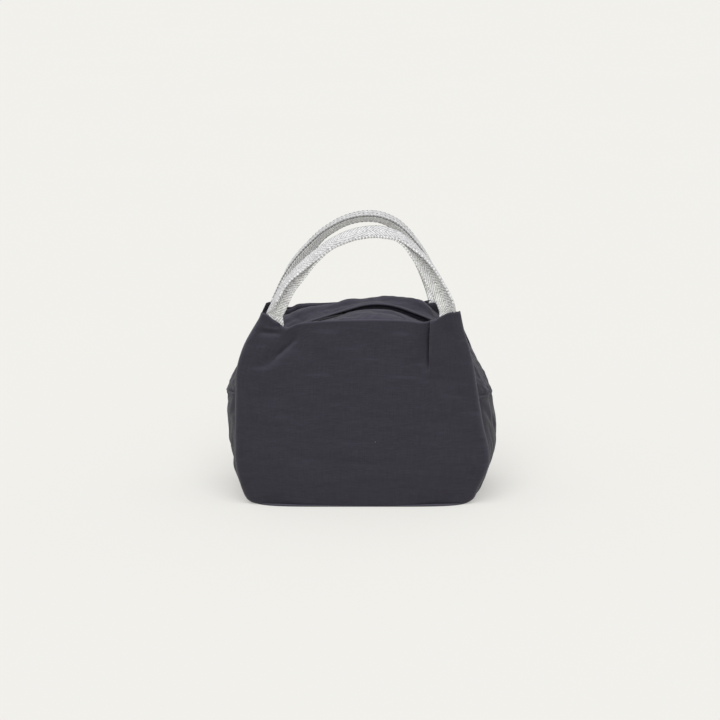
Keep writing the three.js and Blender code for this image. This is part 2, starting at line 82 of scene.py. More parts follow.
# Hem inside the panels' top edge, and the handles' feet between hem and panel
HEM = 0.9
HEM_ROWS = 6
FOOT_GAP = 3.9
FOOT_REACH = 13.2
FOOT_AT = {(FRONT, LEFT): -78.3, (FRONT, RIGHT): 78.5, (BACK, LEFT): -77.5, (BACK, RIGHT): 72.5}

# The handles' webbing, of which each flap has this width
STRAP = 14.2
STRAP_THICKNESS = 1.9


def side_seam(hand, y):
    """Height of the seam between a gusset and the top cover, by distance from the bag's middle plane."""
    return SEAM_MIDDLE[hand] + SEAM_RISE[hand] * np.clip(np.abs(y) / SEAM_DEPTH, 0, 1) ** 1.5


# Shape helpers


def cubic(t, start, end, slope_at_start, slope_at_end):
    """A smooth run from start to end while t goes from 0 to 1."""
    first = start * (1 + 2 * t) * (1 - t) ** 2 + slope_at_start * t * (1 - t) ** 2
    return first + end * (3 - 2 * t) * t**2 - slope_at_end * (1 - t) * t**2


def curve(knots, at):
    """Smooth curve through knots (position, value), held flat past both ends."""
    pos, val = np.array(knots, float).T
    slope = np.gradient(val, pos)
    at = np.clip(np.asarray(at, float), pos[0], pos[-1])
    i = np.clip(np.searchsorted(pos, at, "right") - 1, 0, len(pos) - 2)
    span = pos[i + 1] - pos[i]
    return cubic((at - pos[i]) / span, val[i], val[i + 1], slope[i] * span, slope[i + 1] * span)


def step(low, high, at):
    """Smooth step from 0 at low to 1 at high."""
    t = np.clip((at - low) / (high - low), 0, 1)
    return t * t * (3 - 2 * t)


def edge_fall(distance, width):
    """Fall of a rounded edge: 1 at the edge itself, and 0 from the given width inwards."""
    return 1 - np.sqrt(np.clip(1 - (1 - np.clip(distance / width, 0, 1)) ** 2, 0, 1))


def dents(a, b, seed, size, count=14):
    """Soft random hills and hollows of about one size, roughly between -1 and 1."""
    rng = np.random.default_rng(seed)
    total = np.zeros(np.broadcast(a, b).shape)
    for _ in range(count):
        turn = rng.uniform(0, 2 * math.pi)
        length = size * rng.uniform(0.6, 1.6)
        phase = rng.uniform(0, 2 * math.pi)
        total += np.sin((a * math.cos(turn) + b * math.sin(turn)) * 2 * math.pi / length + phase)
    return total / math.sqrt(count)


def fold(a, b, start, end, width, height, reach=8.0):
    """A ridge (or a hollow, where height is negative) along a line between two points."""
    (a0, b0), (a1, b1) = start, end
    length = math.hypot(a1 - a0, b1 - b0)
    along = ((a - a0) * (a1 - a0) + (b - b0) * (b1 - b0)) / length
    across = ((a - a0) * (b1 - b0) - (b - b0) * (a1 - a0)) / length
    fade = step(-reach, reach, along) * (1 - step(length - reach, length + reach, along))
    return height * fade * np.exp(-((across / width) ** 2))


def unit(v):
    """Vectors scaled to a length of 1."""
    return v / np.maximum(np.linalg.norm(v, axis=-1, keepdims=True), 1e-9)


def normals(points, middle):
    """Normals of a grid of points, pointing away from the middle point."""
    rows = np.gradient(points, axis=0)
    columns = np.gradient(points, axis=1)
    n = unit(np.cross(columns, rows))
    if np.sum(n * (points - np.array(middle, float))) < 0:
        n = -n
    return n


def run_along(path):
    """Distance along a path at each of its points."""
    return np.concatenate([[0], np.cumsum(np.linalg.norm(np.diff(path, axis=0), axis=1))])


def weave_map(points):
    """Cloth coordinates in metres for a grid of points, from the mean length of its rows and columns."""
    across = np.linalg.norm(np.diff(points, axis=1), axis=2).mean(0)
    up = np.linalg.norm(np.diff(points, axis=0), axis=2).mean(1)
    u = np.concatenate([[0], np.cumsum(across)]) * MM
    v = np.concatenate([[0], np.cumsum(up)]) * MM
    return np.stack(np.meshgrid(u, v), axis=-1)


def arch_point(radius, angle, y):
    """Points at a radius and an angle about the arch's centre, at a distance from the middle plane."""
    x, z = radius * np.sin(angle), ARCH_CENTRE + radius * np.cos(angle)
    return np.stack(np.broadcast_arrays(x, y, z), axis=-1)


# Mesh helpers


def add_object(name, points, faces, uv=None):
    """A smooth mesh object from points in millimetres. uv gives one pair for each point."""
    mesh = bpy.data.meshes.new(name)
    mesh.from_pydata((np.asarray(points, float) * MM).tolist(), [], faces)
    mesh.validate()
    if uv is not None:
        layer = mesh.uv_layers.new(name="cloth")
        index = np.zeros(len(mesh.loops), int)
        mesh.loops.foreach_get("vertex_index", index)
        layer.data.foreach_set("uv", np.asarray(uv, np.float32)[index].ravel())
    mesh.polygons.foreach_set("use_smooth", np.full(len(mesh.polygons), True))
    mesh.update()
    obj = bpy.data.objects.new(name, mesh)
    bpy.context.scene.collection.objects.link(obj)
    return obj


def ring_faces(first, rings, sides):
    """Quads that join rings of points, which follow each other from the first index."""
    faces = []
    for start in range(first, first + (rings - 1) * sides, sides):
        for k in range(sides):
            m = (k + 1) % sides
            faces.append([start + k, start + m, start + sides + m, start + sides + k])
    return faces


def sheet_body(name, outer, thickness, middle, uv=None, inner=None, edge_round=0.5, meets=None):
    """A closed cloth body between a grid of points and an inner one.

    edge_round says how far the edge stands out, as a share of the thickness. The body is left open along
    the column named by meets, where it meets its other half.
    """
    rows, columns = outer.shape[:2]
    if inner is None:
        inner = outer - normals(outer, middle) * thickness
    flat = (weave_map(outer) if uv is None else uv).reshape(-1, 2)
    top, low = outer.reshape(-1, 3), inner.reshape(-1, 3)
    count = len(top)
    at = np.arange(count).reshape(rows, columns)
    loop = np.concatenate([at[0, :-1], at[:-1, -1], at[-1, :0:-1], at[:0:-1, 0]])
    inward = np.concatenate([at[1, :-1], at[:-1, -2], at[-2, :0:-1], at[:0:-1, 1]])
    rim = (top[loop] + low[loop]) / 2 + unit(top[loop] - top[inward]) * thickness * edge_round

    corners = at[:-1, :-1], at[:-1, 1:], at[1:, 1:], at[1:, :-1]
    outer_quads = np.stack([corner.ravel() for corner in corners], 1)
    inner_quads = outer_quads[:, ::-1] + count
    ring = 2 * count + np.arange(len(loop))
    loop_after, ring_after = np.roll(loop, -1), np.roll(ring, -1)
    upper = np.stack([loop_after, loop, ring, ring_after], 1)
    lower = np.stack([ring_after, ring, loop + count, loop_after + count], 1)
    if meets is not None:
        on_line = loop % columns == meets % columns
        kept = ~(on_line & np.roll(on_line, -1))
        upper, lower = upper[kept], lower[kept]
    quads = np.concatenate([outer_quads, inner_quads, upper, lower])

    centre = rows // 2, columns // 2
    facing = np.cross(np.gradient(outer, axis=1)[centre], np.gradient(outer, axis=0)[centre])
    if np.dot(facing, outer[centre] - np.array(middle, float)) < 0:
        quads = quads[:, ::-1]
    points = np.concatenate([top, low, rim])
    return add_object(name, points, quads.tolist(), np.concatenate([flat, flat, flat[loop]]))


# A direction that no cord follows, from which the corners of its section are counted
ASKEW = np.array([0.13, 0.37, 0.92])


def tube(name, path, radius, sides=8):
    """A round cord along a row of points."""
    along = unit(np.gradient(path, axis=0))
    side = unit(np.cross(along, ASKEW))
    up = np.cross(side, along)
    turn = np.linspace(0, 2 * math.pi, sides, endpoint=False)
    ring = side[:, None] * np.cos(turn)[None, :, None] + up[:, None] * np.sin(turn)[None, :, None]
    points = (path[:, None] + ring * radius).reshape(-1, 3)
    ends = [list(range(sides))[::-1], [len(points) - sides + k for k in range(sides)]]
    faces = ends + ring_faces(0, len(path), sides)
    return add_object(name, points, faces, np.repeat(path[:, 1:] * MM, sides, axis=0))


def joined(name, objects):
    """One object from several."""
    bpy.ops.object.select_all(action="DESELECT")
    for obj in objects:
        obj.select_set(True)
    bpy.context.view_layer.objects.active = objects[0]
    bpy.ops.object.join()
    objects[0].name = name
    objects[0].data.name = name
    return objects[0]


# A stitch from end to end: share of the way, width and height over the cloth, both in radii
STITCH = [(0, 0.25, -0.9), (0.12, 0.85, 0.1), (0.5, 1, 0.45), (0.88, 0.85, 0.1), (1, 0.25, -0.9)]
THREAD_SIDES = 6


def stitches(name, path, out, length, gap, radius):
    """A row of short threads on a surface: path in millimetres, out the surface's normal at each point."""
    run = run_along(path)
    turn = np.linspace(0, 2 * math.pi, THREAD_SIDES, endpoint=False)
    points, faces = [], []

    def at(values, place):
        return np.array([np.interp(place, run, values[:, k]) for k in range(3)])

    for i in range(max(1, int(run[-1] // (length + gap)))):
        low = i * (length + gap) + gap / 2
        start, end = at(path, low), at(path, low + length)
        normal = unit(at(out, low + length / 2))
        side = np.cross(unit(end - start), normal)
        first = len(points)
        for share, width, lift in STITCH:
            centre = start * (1 - share) + end * share + normal * radius * lift
            for angle in turn:
                spoke = side * math.cos(angle) + normal * math.sin(angle)
                points.append(centre + spoke * radius * width)
        faces += ring_faces(first, len(STITCH), THREAD_SIDES)
        faces.append([first + k for k in reversed(range(THREAD_SIDES))])
        faces.append([len(points) - THREAD_SIDES + k for k in range(THREAD_SIDES)])
    return add_object(name, points, faces)


# Materials


class Nodes:
    """A node tree with short calls for its nodes."""

    def __init__(self, tree):
        self.tree = tree

    def put(self, socket, value):
        if hasattr(value, "is_output"):
            self.tree.links.new(value, socket)
        else:
            socket.default_value = value

    def node(self, kind, inputs=(), **settings):
        made = self.tree.nodes.new("ShaderNode" + kind)
        for key, value in settings.items():
            setattr(made, key, value)
        for key, value in dict(inputs).items():
            self.put(made.inputs[key], value)
        return made

    def math(self, operation, a, b=0.0):
        return self.node("Math", {0: a, 1: b}, operation=operation).outputs[0]

    def plus(self, a, b):
        return self.math("ADD", a, b)

    def times(self, a, b):
        return self.math("MULTIPLY", a, b)

    def mix(self, share, a, b):
        return self.node("Mix", {0: share, 6: a, 7: b}, data_type="RGBA").outputs[2]

    def span(self, value, low, high, new_low=0.0, new_high=1.0):
        inputs = {"Value": value, 1: low, 2: high, 3: new_low, 4: new_high}
        return self.node("MapRange", inputs).outputs[0]

    def uv(self):
        return self.node("UVMap", uv_map="cloth").outputs[0]

    def place(self):
        return self.node("TexCoord").outputs["Object"]

    def stretched(self, vector, scale):
        return self.node("Mapping", {"Vector": vector, "Scale": scale}).outputs[0]

    def noise(self, vector, scale, detail=3.0, rough=0.55):
        inputs = {"Vector": vector, "Scale": scale, "Detail": detail, "Roughness": rough}
        return self.node("TexNoise", inputs).outputs[0]

    def bump(self, height, distance, strength=1.0, under=None):
        inputs = {"Height": height, "Distance": distance, "Strength": strength}
        if under is not None:
            inputs["Normal"] = under
        return self.node("Bump", inputs).outputs[0]

    def seen(self):
        """1 where the camera or a glossy face looks, 0 for all other light."""
        path = self.node("LightPath").outputs
        return self.math("MAXIMUM", path["Is Camera Ray"], path["Is Glossy Ray"])


class Shader(Nodes):
    """A new node material."""

    def __init__(self, name):
        self.material = bpy.data.materials.new(name)
        self.material.use_nodes = True
        super().__init__(self.material.node_tree)
        self.bsdf = self.tree.nodes["Principled BSDF"]

    def set(self, **values):
        for key, value in values.items():
            self.put(self.bsdf.inputs[key.replace("_", " ")], value)
        return self.material


def paler(color, times):
    return tuple(min(1, c * times) for c in color[:3]) + (1,)


def canvas_material(name, dark, light, pitch=0.00062):
    """Cotton canvas: crossing threads, slubs along both, soft fading, pale edges, a few lint specks, and
    painted light that makes faces paler the more they point upwards.
    """
    s = Shader(name)
    uv = s.uv()
    weft = s.noise(s.stretched(uv, (60, 1500, 1)), 1.0, 2.0)
    warp = s.noise(s.stretched(uv, (1300, 50, 1)), 1.0, 2.0)
    slubs = s.plus(s.times(weft, 0.5), s.times(warp, 0.5))
    nubs = s.noise(s.stretched(uv, (170, 620, 1)), 1.0, 3.0, 0.65)
    cloudy = s.noise(s.place(), 26.0, 4.0)
    share = s.span(slubs, 0.36, 0.64)
    share = s.plus(s.times(share, 0.35), s.times(cloudy, 0.3))
    share = s.plus(share, s.span(nubs, 0.32, 0.68, 0.0, 0.35))
    color = s.mix(share, dark, light)
    # Painted light: faces that point upwards are made paler. This stands for the light from above and the
    # cloth's sheen at grazing angles
    upward = s.node("SeparateXYZ", {0: s.node("NewGeometry").outputs["Normal"]}).outputs[2]
    painted_top_light = s.span(upward, 0.3, 0.85, 0.0, 0.75)
    color = s.mix(painted_top_light, color, paler(light, 1.9))
    worn = s.span(s.node("NewGeometry").outputs["Pointiness"], 0.515, 0.56, 0.0, 0.35)
    color = s.mix(worn, color, paler(light, 2.1))
    cells = s.node("TexVoronoi", {"Vector": s.place(), "Scale": 62.0}, feature="F1")
    near = s.span(cells.outputs["Distance"], 0.022, 0.03, 1.0, 0.0)
    chosen = s.math("GREATER_THAN", s.node("SeparateColor", {0: cells.outputs["Color"]}).outputs[0], 0.72)
    color = s.mix(s.times(s.times(near, chosen), 0.5), color, (0.42, 0.42, 0.45, 1))
    xy = s.node("SeparateXYZ", {0: uv})
    threads = [s.math("SINE", s.times(xy.outputs[i], 2 * math.pi / pitch)) for i in (0, 1)]
    weave = s.times(threads[0], threads[1])
    height = s.plus(s.times(weave, 0.5), s.times(slubs, 1.4))
    soft = s.bump(s.noise(s.place(), 150.0, 3.0), 0.0006, 0.35)
    normal = s.bump(height, 0.00012, 0.55, soft)
    rough = s.span(slubs, 0.3, 0.7, 0.97, 0.86)
    return s.set(
        Base_Color=color, Roughness=rough, Normal=normal,
        Specular_IOR_Level=0.18, Sheen_Weight=0.12, Sheen_Roughness=0.5,
    )


def webbing_material(name, pale, painted_shade_tones, column=7.1 * MM, pitch=3.2 * MM):
    """Melange herringbone webbing: slanting threads that turn back at each column, with painted shade: one
    half darker for the shade on the inner flaps, and a dark line along the crease.

    The first tones hold the colours of the hollows and of the ribs on the lit half of the webbing, and the
    second those of the half darkened as painted shade.
    """
    s = Shader(name)
    uv = s.node("SeparateXYZ", {0: s.uv()})
    across = s.math("DIVIDE", uv.outputs[0], 2 * column)
    zigzag = s.math("PINGPONG", across, 0.5)
    slant = s.times(zigzag, 2 * column * 1.15)
    fibre = s.noise(s.stretched(s.uv(), (1000, 700, 1)), 1.0, 3.0, 0.7)
    phase = s.math("DIVIDE", s.plus(uv.outputs[1], slant), pitch)
    phase = s.plus(phase, s.times(fibre, 0.4))
    rib = s.span(s.math("PINGPONG", phase, 0.5), 0.12, 0.34)
    yarn = s.node("TexVoronoi", {"Vector": s.uv(), "Scale": 640.0}, feature="F1")
    fleck = s.node("SeparateColor", {0: yarn.outputs["Color"]}).outputs[0]
    share = s.plus(s.times(rib, 0.55), s.times(fleck, 0.5))
    share = s.plus(share, s.span(fibre, 0.3, 0.7, -0.15, 0.1))
    # Painted shade: the half on the inner flaps takes the second, darker tones, which stand for the shade
    # those flaps lie in
    half = s.span(uv.outputs[0], (STRAP - 0.6) * MM, (STRAP + 0.4) * MM)
    color = s.mix(half, s.mix(share, *pale), s.mix(share, *painted_shade_tones))
    # Painted shade: a dark line along the crease, which stands for the shadow in the fold
    crease = s.math("ABSOLUTE", s.math("SUBTRACT", uv.outputs[0], STRAP * MM))
    color = s.mix(s.span(crease, 0.0005, 0.0011, 0.8, 0.0), color, (0.12, 0.12, 0.12, 1))
    normal = s.bump(rib, 0.0004, 0.8, s.bump(fibre, 0.0003, 0.6))
    return s.set(Base_Color=color, Roughness=0.9, Normal=normal, Sheen_Weight=0.15, Sheen_Roughness=0.6)


def lining_material(name):
    """Silvered film on fabric, with fine creases."""
    s = Shader(name)
    crumple = s.noise(s.place(), 70.0, 6.0, 0.6)
    grain = s.noise(s.place(), 1400.0, 2.0)
    color = s.mix(s.span(crumple, 0.3, 0.7), (0.42, 0.43, 0.45, 1), (0.62, 0.64, 0.66, 1))
    rough = s.span(crumple, 0.3, 0.7, 0.32, 0.5)
    normal = s.bump(grain, 0.0001, 0.3, s.bump(crumple, 0.002, 0.6))
    return s.set(Base_Color=color, Roughness=rough, Normal=normal, Metallic=0.45)


def tape_material(name):
    """Black woven zip tape with a fine rib along its length."""
    s = Shader(name)
    uv = s.node("SeparateXYZ", {0: s.uv()})
    rib = s.math("SINE", s.times(uv.outputs[1], 2 * math.pi / 0.0006))
    fibre = s.noise(s.stretched(s.uv(), (900, 2600, 1)), 1.0, 3.0)
    color = s.mix(fibre, (0.006, 0.006, 0.009, 1), (0.02, 0.019, 0.026, 1))
    height = s.plus(s.times(rib, 0.4), fibre)
    return s.set(Base_Color=color, Roughness=0.92, Normal=s.bump(height, 0.0001, 0.6))


def metal_material(name):
    """Dark painted zip metal, rubbed brighter along its edges."""
    s = Shader(name)
    fine = s.noise(s.place(), 700.0, 4.0)
    edge = s.span(s.node("NewGeometry").outputs["Pointiness"], 0.53, 0.6, 0.0, 0.6)
    color = s.mix(edge, (0.028, 0.027, 0.032, 1), (0.22, 0.21, 0.22, 1))
    rough = s.span(fine, 0.3, 0.7, 0.28, 0.45)
    return s.set(Base_Color=color, Roughness=rough, Metallic=0.8, Normal=s.bump(fine, 0.00005, 0.3))


def grained_material(name, low, high, scale, detail, rough, depth, strength):
    """A finish with a single grain, which mixes two colours, changes the gloss and dents the surface."""
    s = Shader(name)
    grain = s.noise(s.stretched(s.place(), scale), 1.0, detail)
    return s.set(
        Base_Color=s.mix(grain, low, high), Normal=s.bump(grain, depth, strength),
        Roughness=s.span(grain, 0.3, 0.7, *rough),
    )


def foam_material(name):
    """White foam sheet with an open, pitted skin."""
    low, high = (0.66, 0.64, 0.58, 1), (0.84, 0.83, 0.79, 1)
    return grained_material(name, low, high, (900, 900, 900), 3, (0.95, 0.95), 0.0005, 0.7)


def nylon_material(name):
    """Dark nylon of the zip's teeth."""
    low, high = (0.009, 0.009, 0.012, 1), (0.02, 0.019, 0.024, 1)
    return grained_material(name, low, high, (500, 500, 500), 3, (0.4, 0.6), 0.0001, 0.3)


def board_material(name):
    """Pale stiff plastic sheet with faint scuffs."""
    low, high = (0.62, 0.61, 0.57, 1), (0.74, 0.73, 0.69, 1)
    return grained_material(name, low, high, (200, 30, 200), 5, (0.45, 0.65), 0.0002, 0.3)


def thread_material(name, low, high):
    """Twisted sewing thread."""
    return grained_material(name, low, high, (2600, 2600, 2600), 2, (0.75, 0.75), 0.0001, 0.5)


CANVAS_CLOTH = canvas_material("canvas", (0.0225, 0.0212, 0.0292, 1), (0.0375, 0.0352, 0.0475, 1))
# The second tones are painted shade for the inner flaps of the same webbing
WEBBING = webbing_material(
    "webbing",
    pale=((0.44, 0.44, 0.44, 1), (1.0, 1.0, 0.99, 1)),
    painted_shade_tones=((0.36, 0.36, 0.37, 1), (0.86, 0.86, 0.87, 1)),
)
SILVER = lining_material("lining")
FOAM = foam_material("padding")
TAPE = tape_material("zip_tape")
NYLON = nylon_material("zip_coil")
METAL = metal_material("zip_metal")
BOARD = board_material("board")
DARK_THREAD = thread_material("dark_thread", (0.03, 0.028, 0.038, 1), (0.06, 0.056, 0.072, 1))
GREY_THREAD = thread_material("grey_thread", (0.24, 0.24, 0.25, 1), (0.42, 0.42, 0.43, 1))


def dress(obj, material, slot, *nodes, body=None, blend=None, pad=None):
    """Give a piece its finish and hide the nodes that it stands for. A piece with one body is parented to
    that body; a piece with a blend only has its place baked into its mesh.
    """
    obj.data.materials.clear()
    obj.data.materials.append(material)
    if nodes:
        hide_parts(*nodes)
    if blend:
        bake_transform(obj)
    else:
        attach(obj, body)
    return obj


def opening(side):
    """Blend for what joins the base at the zip's ends and follows a wall towards the top."""
    return ("base", WALLS[side], (0, side * 0.010, 0.099), (0, side * 0.0373, 0.1135))


def gusset_blend(side):
    """Blend for a gusset's half, from the bag's side to the wall's seam."""
    return ("base", WALLS[side], (0, side * 0.010, 0.05), (0, side * 0.045, 0.05))


# The padded walls

# Left and right edges, by height, and top edge, by place across, of the front and back panels
EDGES = {
    (FRONT, LEFT): [
        (0, -98.5), (1.2, -102), (3.4, -105.4), (6, -107.2), (12, -109.8), (20, -112.2), (40, -115.8),
        (62, -116.4), (86, -116.1), (106, -115.7), (123, -115.2), (134, -112.8), (141, -110.6),
        (150, -106.9), (158.4, -102.3), (165.4, -98), (172.5, -93.8), (178, -91.6),
    ],
    (FRONT, RIGHT): [
        (0, 95.5), (1.5, 100.6), (4, 104.4), (7, 106.2), (13, 108.4), (24, 113.2), (33, 117), (44, 119),
        (56, 117.6), (72, 113.6), (90, 110.2), (106, 107.6), (133, 103), (146, 99.8), (162, 94.8),
        (179, 91.2),
    ],
    (BACK, LEFT): [
        (0, -92), (1.5, -97.5), (5, -103), (11, -107.6), (22, -112), (48, -116.4), (80, -115.6),
        (108, -112.6), (132, -106.8), (150, -100.6), (165, -94.6), (176, -89.6),
    ],
    (BACK, RIGHT): [
        (0, 92), (1.5, 97.5), (5, 103), (11, 107.6), (22, 112.4), (48, 117), (80, 116), (108, 112),
        (132, 105.4), (150, 97.6), (165, 91.2), (178, 85.6),
    ],
}
TOPS = {
    FRONT: [
        (-92, 177.6), (-87.5, 176.7), (-83, 173.4), (-77.5, 170), (-73.8, 167), (-71.2, 165.2), (-68, 165),
        (-64, 166), (-58, 167.7), (-48, 169.2), (-37.4, 170), (-10, 171), (8, 171.5), (25, 171),
        (45, 170.4), (62, 169.4), (67.4, 171.2), (73, 174.6), (78, 177.2), (83, 178.4), (92, 178.8),
    ],
    BACK: [
        (-90, 174.6), (-86, 174.6), (-80, 173.2), (-73.5, 170.8), (-70, 169.6), (-66, 169.6), (-61.5, 172),
        (-53.6, 173), (-38, 173.6), (-20, 174.4), (0, 174.4), (28, 173.6), (50, 172.8), (58, 174.6),
        (64, 176.4), (73.8, 176.8), (80, 176.6), (86, 175.8),
    ],
}
# The panels' pleats: place across at the top, slant, the shares of the columns between which each one
# lies, and how far those columns reach to its left and its right
PLEAT_AT = {FRONT: 64.3, BACK: -58.0}
PLEAT_TOP = 169.5
PLEAT_SLANT = {FRONT: 0.045, BACK: -0.045}
PLEAT_SHARES = {FRONT: (0.67, 0.86), BACK: (0.10, 0.24)}
PLEAT_LEFT, PLEAT_RIGHT = 6, 4
# Section of the front panel's pleat, by share of the way through it: place across, and how far out
PLEAT_ACROSS = [
    (0, -6), (0.25, -2.6), (0.42, -1.2), (0.52, -0.5), (0.6, 0.7), (0.68, 0.2), (0.75, -0.8), (0.82, -0.9),
    (0.9, 0.6), (1, 4),
]
PLEAT_OUT = [
    (0, -1.7), (0.25, -2.7), (0.42, -4), (0.52, -5.2), (0.6, -5), (0.68, -2), (0.75, 0.2), (0.82, 2.4),
    (0.9, 4), (1, 4.1),
]


# Folds of the panels: where each starts and ends, its width, its height and how softly it ends
PANEL_FOLDS = {
    FRONT: [
        ((-60.5, 153.5), (-79, 137.0), 2.0, -2.1, 8),
        ((-56, 160), (-91, 128), 6.5, -1.5, 11),
        ((-66, 161), (-95, 138), 6.5, 1.5, 12),
        ((-47, 152), (-78, 120), 9.0, 0.7, 12),
        ((-82, 166.6), (-73, 166.2), 1.4, -1.3, 3),
        ((-93, 160.6), (-73, 159.6), 2.6, -1.5, 4),
        ((-69.6, 162.4), (-62.7, 165.6), 1.3, 1.0, 3),
        ((-88, 164.5), (-76, 163.4), 2.2, 0.9, 4),
        ((84, 176), (92, 140), 4.5, 1.4, 10),
        ((77, 168), (80, 128), 5.0, -1.4, 12),
        ((57, 152), (51, 108), 8.0, -1.4, 14),
        ((-70, 66), (10, 61), 3.6, -0.6, 16),
        ((-60, 45), (40, 40), 4.0, -0.6, 18),
        ((-40, 27), (70, 30), 4.5, 0.5, 18),
        ((20, 84), (90, 78), 5.0, -0.5, 18),
        ((95, 40), (112, 18), 6.0, -1.6, 9),
    ],
    BACK: [
        ((60, 160), (92, 130), 6.0, -3.0, 12),
        ((68, 165), (98, 138), 7.0, 2.0, 12),
        ((-64, 166), (-60, 120), 3.0, -2.6, 14),
        ((-72, 166), (-70, 124), 6.0, 1.8, 14),
        ((-20, 60), (70, 52), 4.5, -0.6, 18),
        ((-80, 38), (10, 34), 4.5, -0.5, 18),
    ],
}


# A wall's distance from the middle plane by height, and how far it falls back towards its side edges:
# over its whole height, and more so at the floor
WALL_DEPTH = [(0, 61), (12, 61.6), (34, 61), (70, 57), (110, 50.4), (145, 43.2), (180, 35.4)]
WALL_CROWN = 4.2
FLOOR_CROWN = 5.5


def wall_depth(x, z, half_width):
    """Distance of a wall's outer face from the bag's middle plane."""
    crown = WALL_CROWN * np.clip(1 - (z / 176) ** 2, 0.12, 1) + FLOOR_CROWN * (1 - step(0, 42, z))
    return curve(WALL_DEPTH, z) - crown * np.abs(x / half_width) ** 2.2


# Radius about the arch's centre under which the walls' padding stays
COVERED_RADIUS = 138.0


def panel_details(side, x, z, off_pleat, pleat):
    """How far the cloth stands out from the smooth wall. Without the pleat there is a hollow in its place."""
    out = 0.55 * dents(x, z * 1.5, 11 + side, 46) + 0.22 * dents(x * 0.55, z * 2.1, 23 + side, 19)
    for row in PANEL_FOLDS[side]:
        out += fold(x, z, *row)
    out += 2.2 * np.exp(-(((np.abs(x) - 80) / 7) ** 2)) * step(160, 172, z)
    if side == FRONT:
        hollow = -5.6 * np.exp(-(((off_pleat + 2) / 11) ** 2))
        out += step(110, 140, z) * (1 - pleat) * hollow
    return out


def panel_columns(side, share, z, margin):
    """Left edge, right edge, the pleat's line and every column's place across, at the given heights."""
    first, last = PLEAT_SHARES[side]
    left = curve(EDGES[side, LEFT], z) + margin
    right = curve(EDGES[side, RIGHT], z) - margin
    line = PLEAT_AT[side] - (PLEAT_TOP - z) * PLEAT_SLANT[side]
    start, end = line - PLEAT_LEFT, line + PLEAT_RIGHT
    before = left + (start - left) * share / first
    within = start + (PLEAT_LEFT + PLEAT_RIGHT) * (share - first) / (last - first)
    after = end + (right - end) * (share - last) / (1 - last)
    return left, right, line, np.where(share > last, after, np.where(share < first, before, within))


def panel_grid(side, columns, rows, margin=0.0, low=0.5, detail=1.0, drop=0.0, pleat=1.0, covered=False):
    """Points of a panel's outer face.

    margin draws the sides in, drop lowers the top, and covered keeps the grid under the top cover.
    """
    share = np.linspace(0, 1, columns)
    height = np.linspace(0, 1, rows) ** 1.12
    top = np.full(columns, 172.0)
    for _ in range(6):
        top = curve(TOPS[side], panel_columns(side, share, top, margin)[3])
    if covered:
        across = panel_columns(side, share, top, margin)[3]
        cover = ARCH_CENTRE + np.sqrt(np.maximum(COVERED_RADIUS**2 - across**2, 1))
        top = np.minimum(top, cover + drop)
    top = top - drop
    z = low + height[:, None] * (top - low)[None, :]
    left, right, line, x = panel_columns(side, share, z, margin)

    first, last = PLEAT_SHARES[side]
    strength = step(113, 148, z) * pleat * (side == FRONT)
    through = np.clip((share - first) / (last - first), 0, 1)[None, :]
    inside = (through > 0) & (through < 1)
    lift = np.where(through <= 0, -3.0 * np.exp((x - line + 1) / 9), 4.6 * np.exp((line + 1 - x) / 27))
    lift = np.where(inside, curve(PLEAT_OUT, through), lift)
    x = np.where(inside, x + strength * (line + curve(PLEAT_ACROSS, through) - x), x)

    half = np.where(x < 0, -left, right)
    depth = wall_depth(x, z, np.maximum(half, 1))
    depth = depth + detail * panel_details(side, x, z, x - line, pleat) + strength * lift
    near = np.minimum(x - left, right - x)
    depth = depth - 4.2 * edge_fall(near, 6.5) - 1.8 * edge_fall(z, 3.0)
    return np.stack([x, side * depth, z], axis=-1)


def foot_share(side, x):
    """1 where a handle's foot is sewn in behind the panel's top edge, 0 elsewhere."""
    return sum(np.exp(-(((x - FOOT_AT[side, hand]) / FOOT_REACH) ** 6)) for hand in (LEFT, RIGHT))


def build_walls():
    middle = (0, 0, 80)
    for side in (FRONT, BACK):
        half = HALF[side]
        fine = (196, 132) if side == FRONT else (140, 104)
        outer = panel_grid(side, *fine)
        panel = sheet_body(f"{half}_canvas_panel", outer, CANVAS, middle)
        hem = panel_grid(side, 150, 60, margin=1.5, drop=0.6, pleat=0.0)
        behind = CANVAS + 0.2 + FOOT_GAP * foot_share(side, hem[..., 0])[..., None]
        hem = (hem - normals(hem, middle) * behind)[-HEM_ROWS:]
        panel = joined(panel.name, [panel, sheet_body(f"{half}_hem", hem, HEM, middle)])
        dress(panel, CANVAS_CLOTH, "canvas", f"{half}_panel", body=WALLS[side], pad=0.35)

        core = panel_grid(side, 60, 46, margin=7.5, low=8.4, detail=0.85, drop=17, pleat=0.0, covered=True)
        n = normals(core, middle)
        pad = sheet_body(f"{half}_wall_padding", core - n * PADDING_DEPTH, PADDING, middle)
        dress(pad, FOAM, "padding", f"{half}_insulation", body=WALLS[side], pad=0.35)
        crinkle = 0.35 * dents(core[..., 0], core[..., 2], 41 + side, 16)[..., None]
        film = core - n * (LINING_DEPTH + crinkle)
        lining = sheet_body(f"{half}_wall_lining", film, LINING, middle)
        dress(lining, SILVER, "lining", f"{half}_lining", body=WALLS[side])


# Side gussets

# The gussets' outline seen from the front, by height
SIDE_LINE = {
    LEFT: [
        (0, 105.5), (5, 110), (23, 117.4), (40, 121.2), (58, 123.4), (77, 125), (99.5, 125.2), (110, 124.4),
    ],
    RIGHT: [
        (0, 103.5), (5, 107.4), (23, 118.2), (32, 122.4), (40, 125), (50, 126.6), (58, 126.8), (70, 126.2),
        (80, 125), (90, 123.6), (99.5, 122), (110, 120),
    ],
}


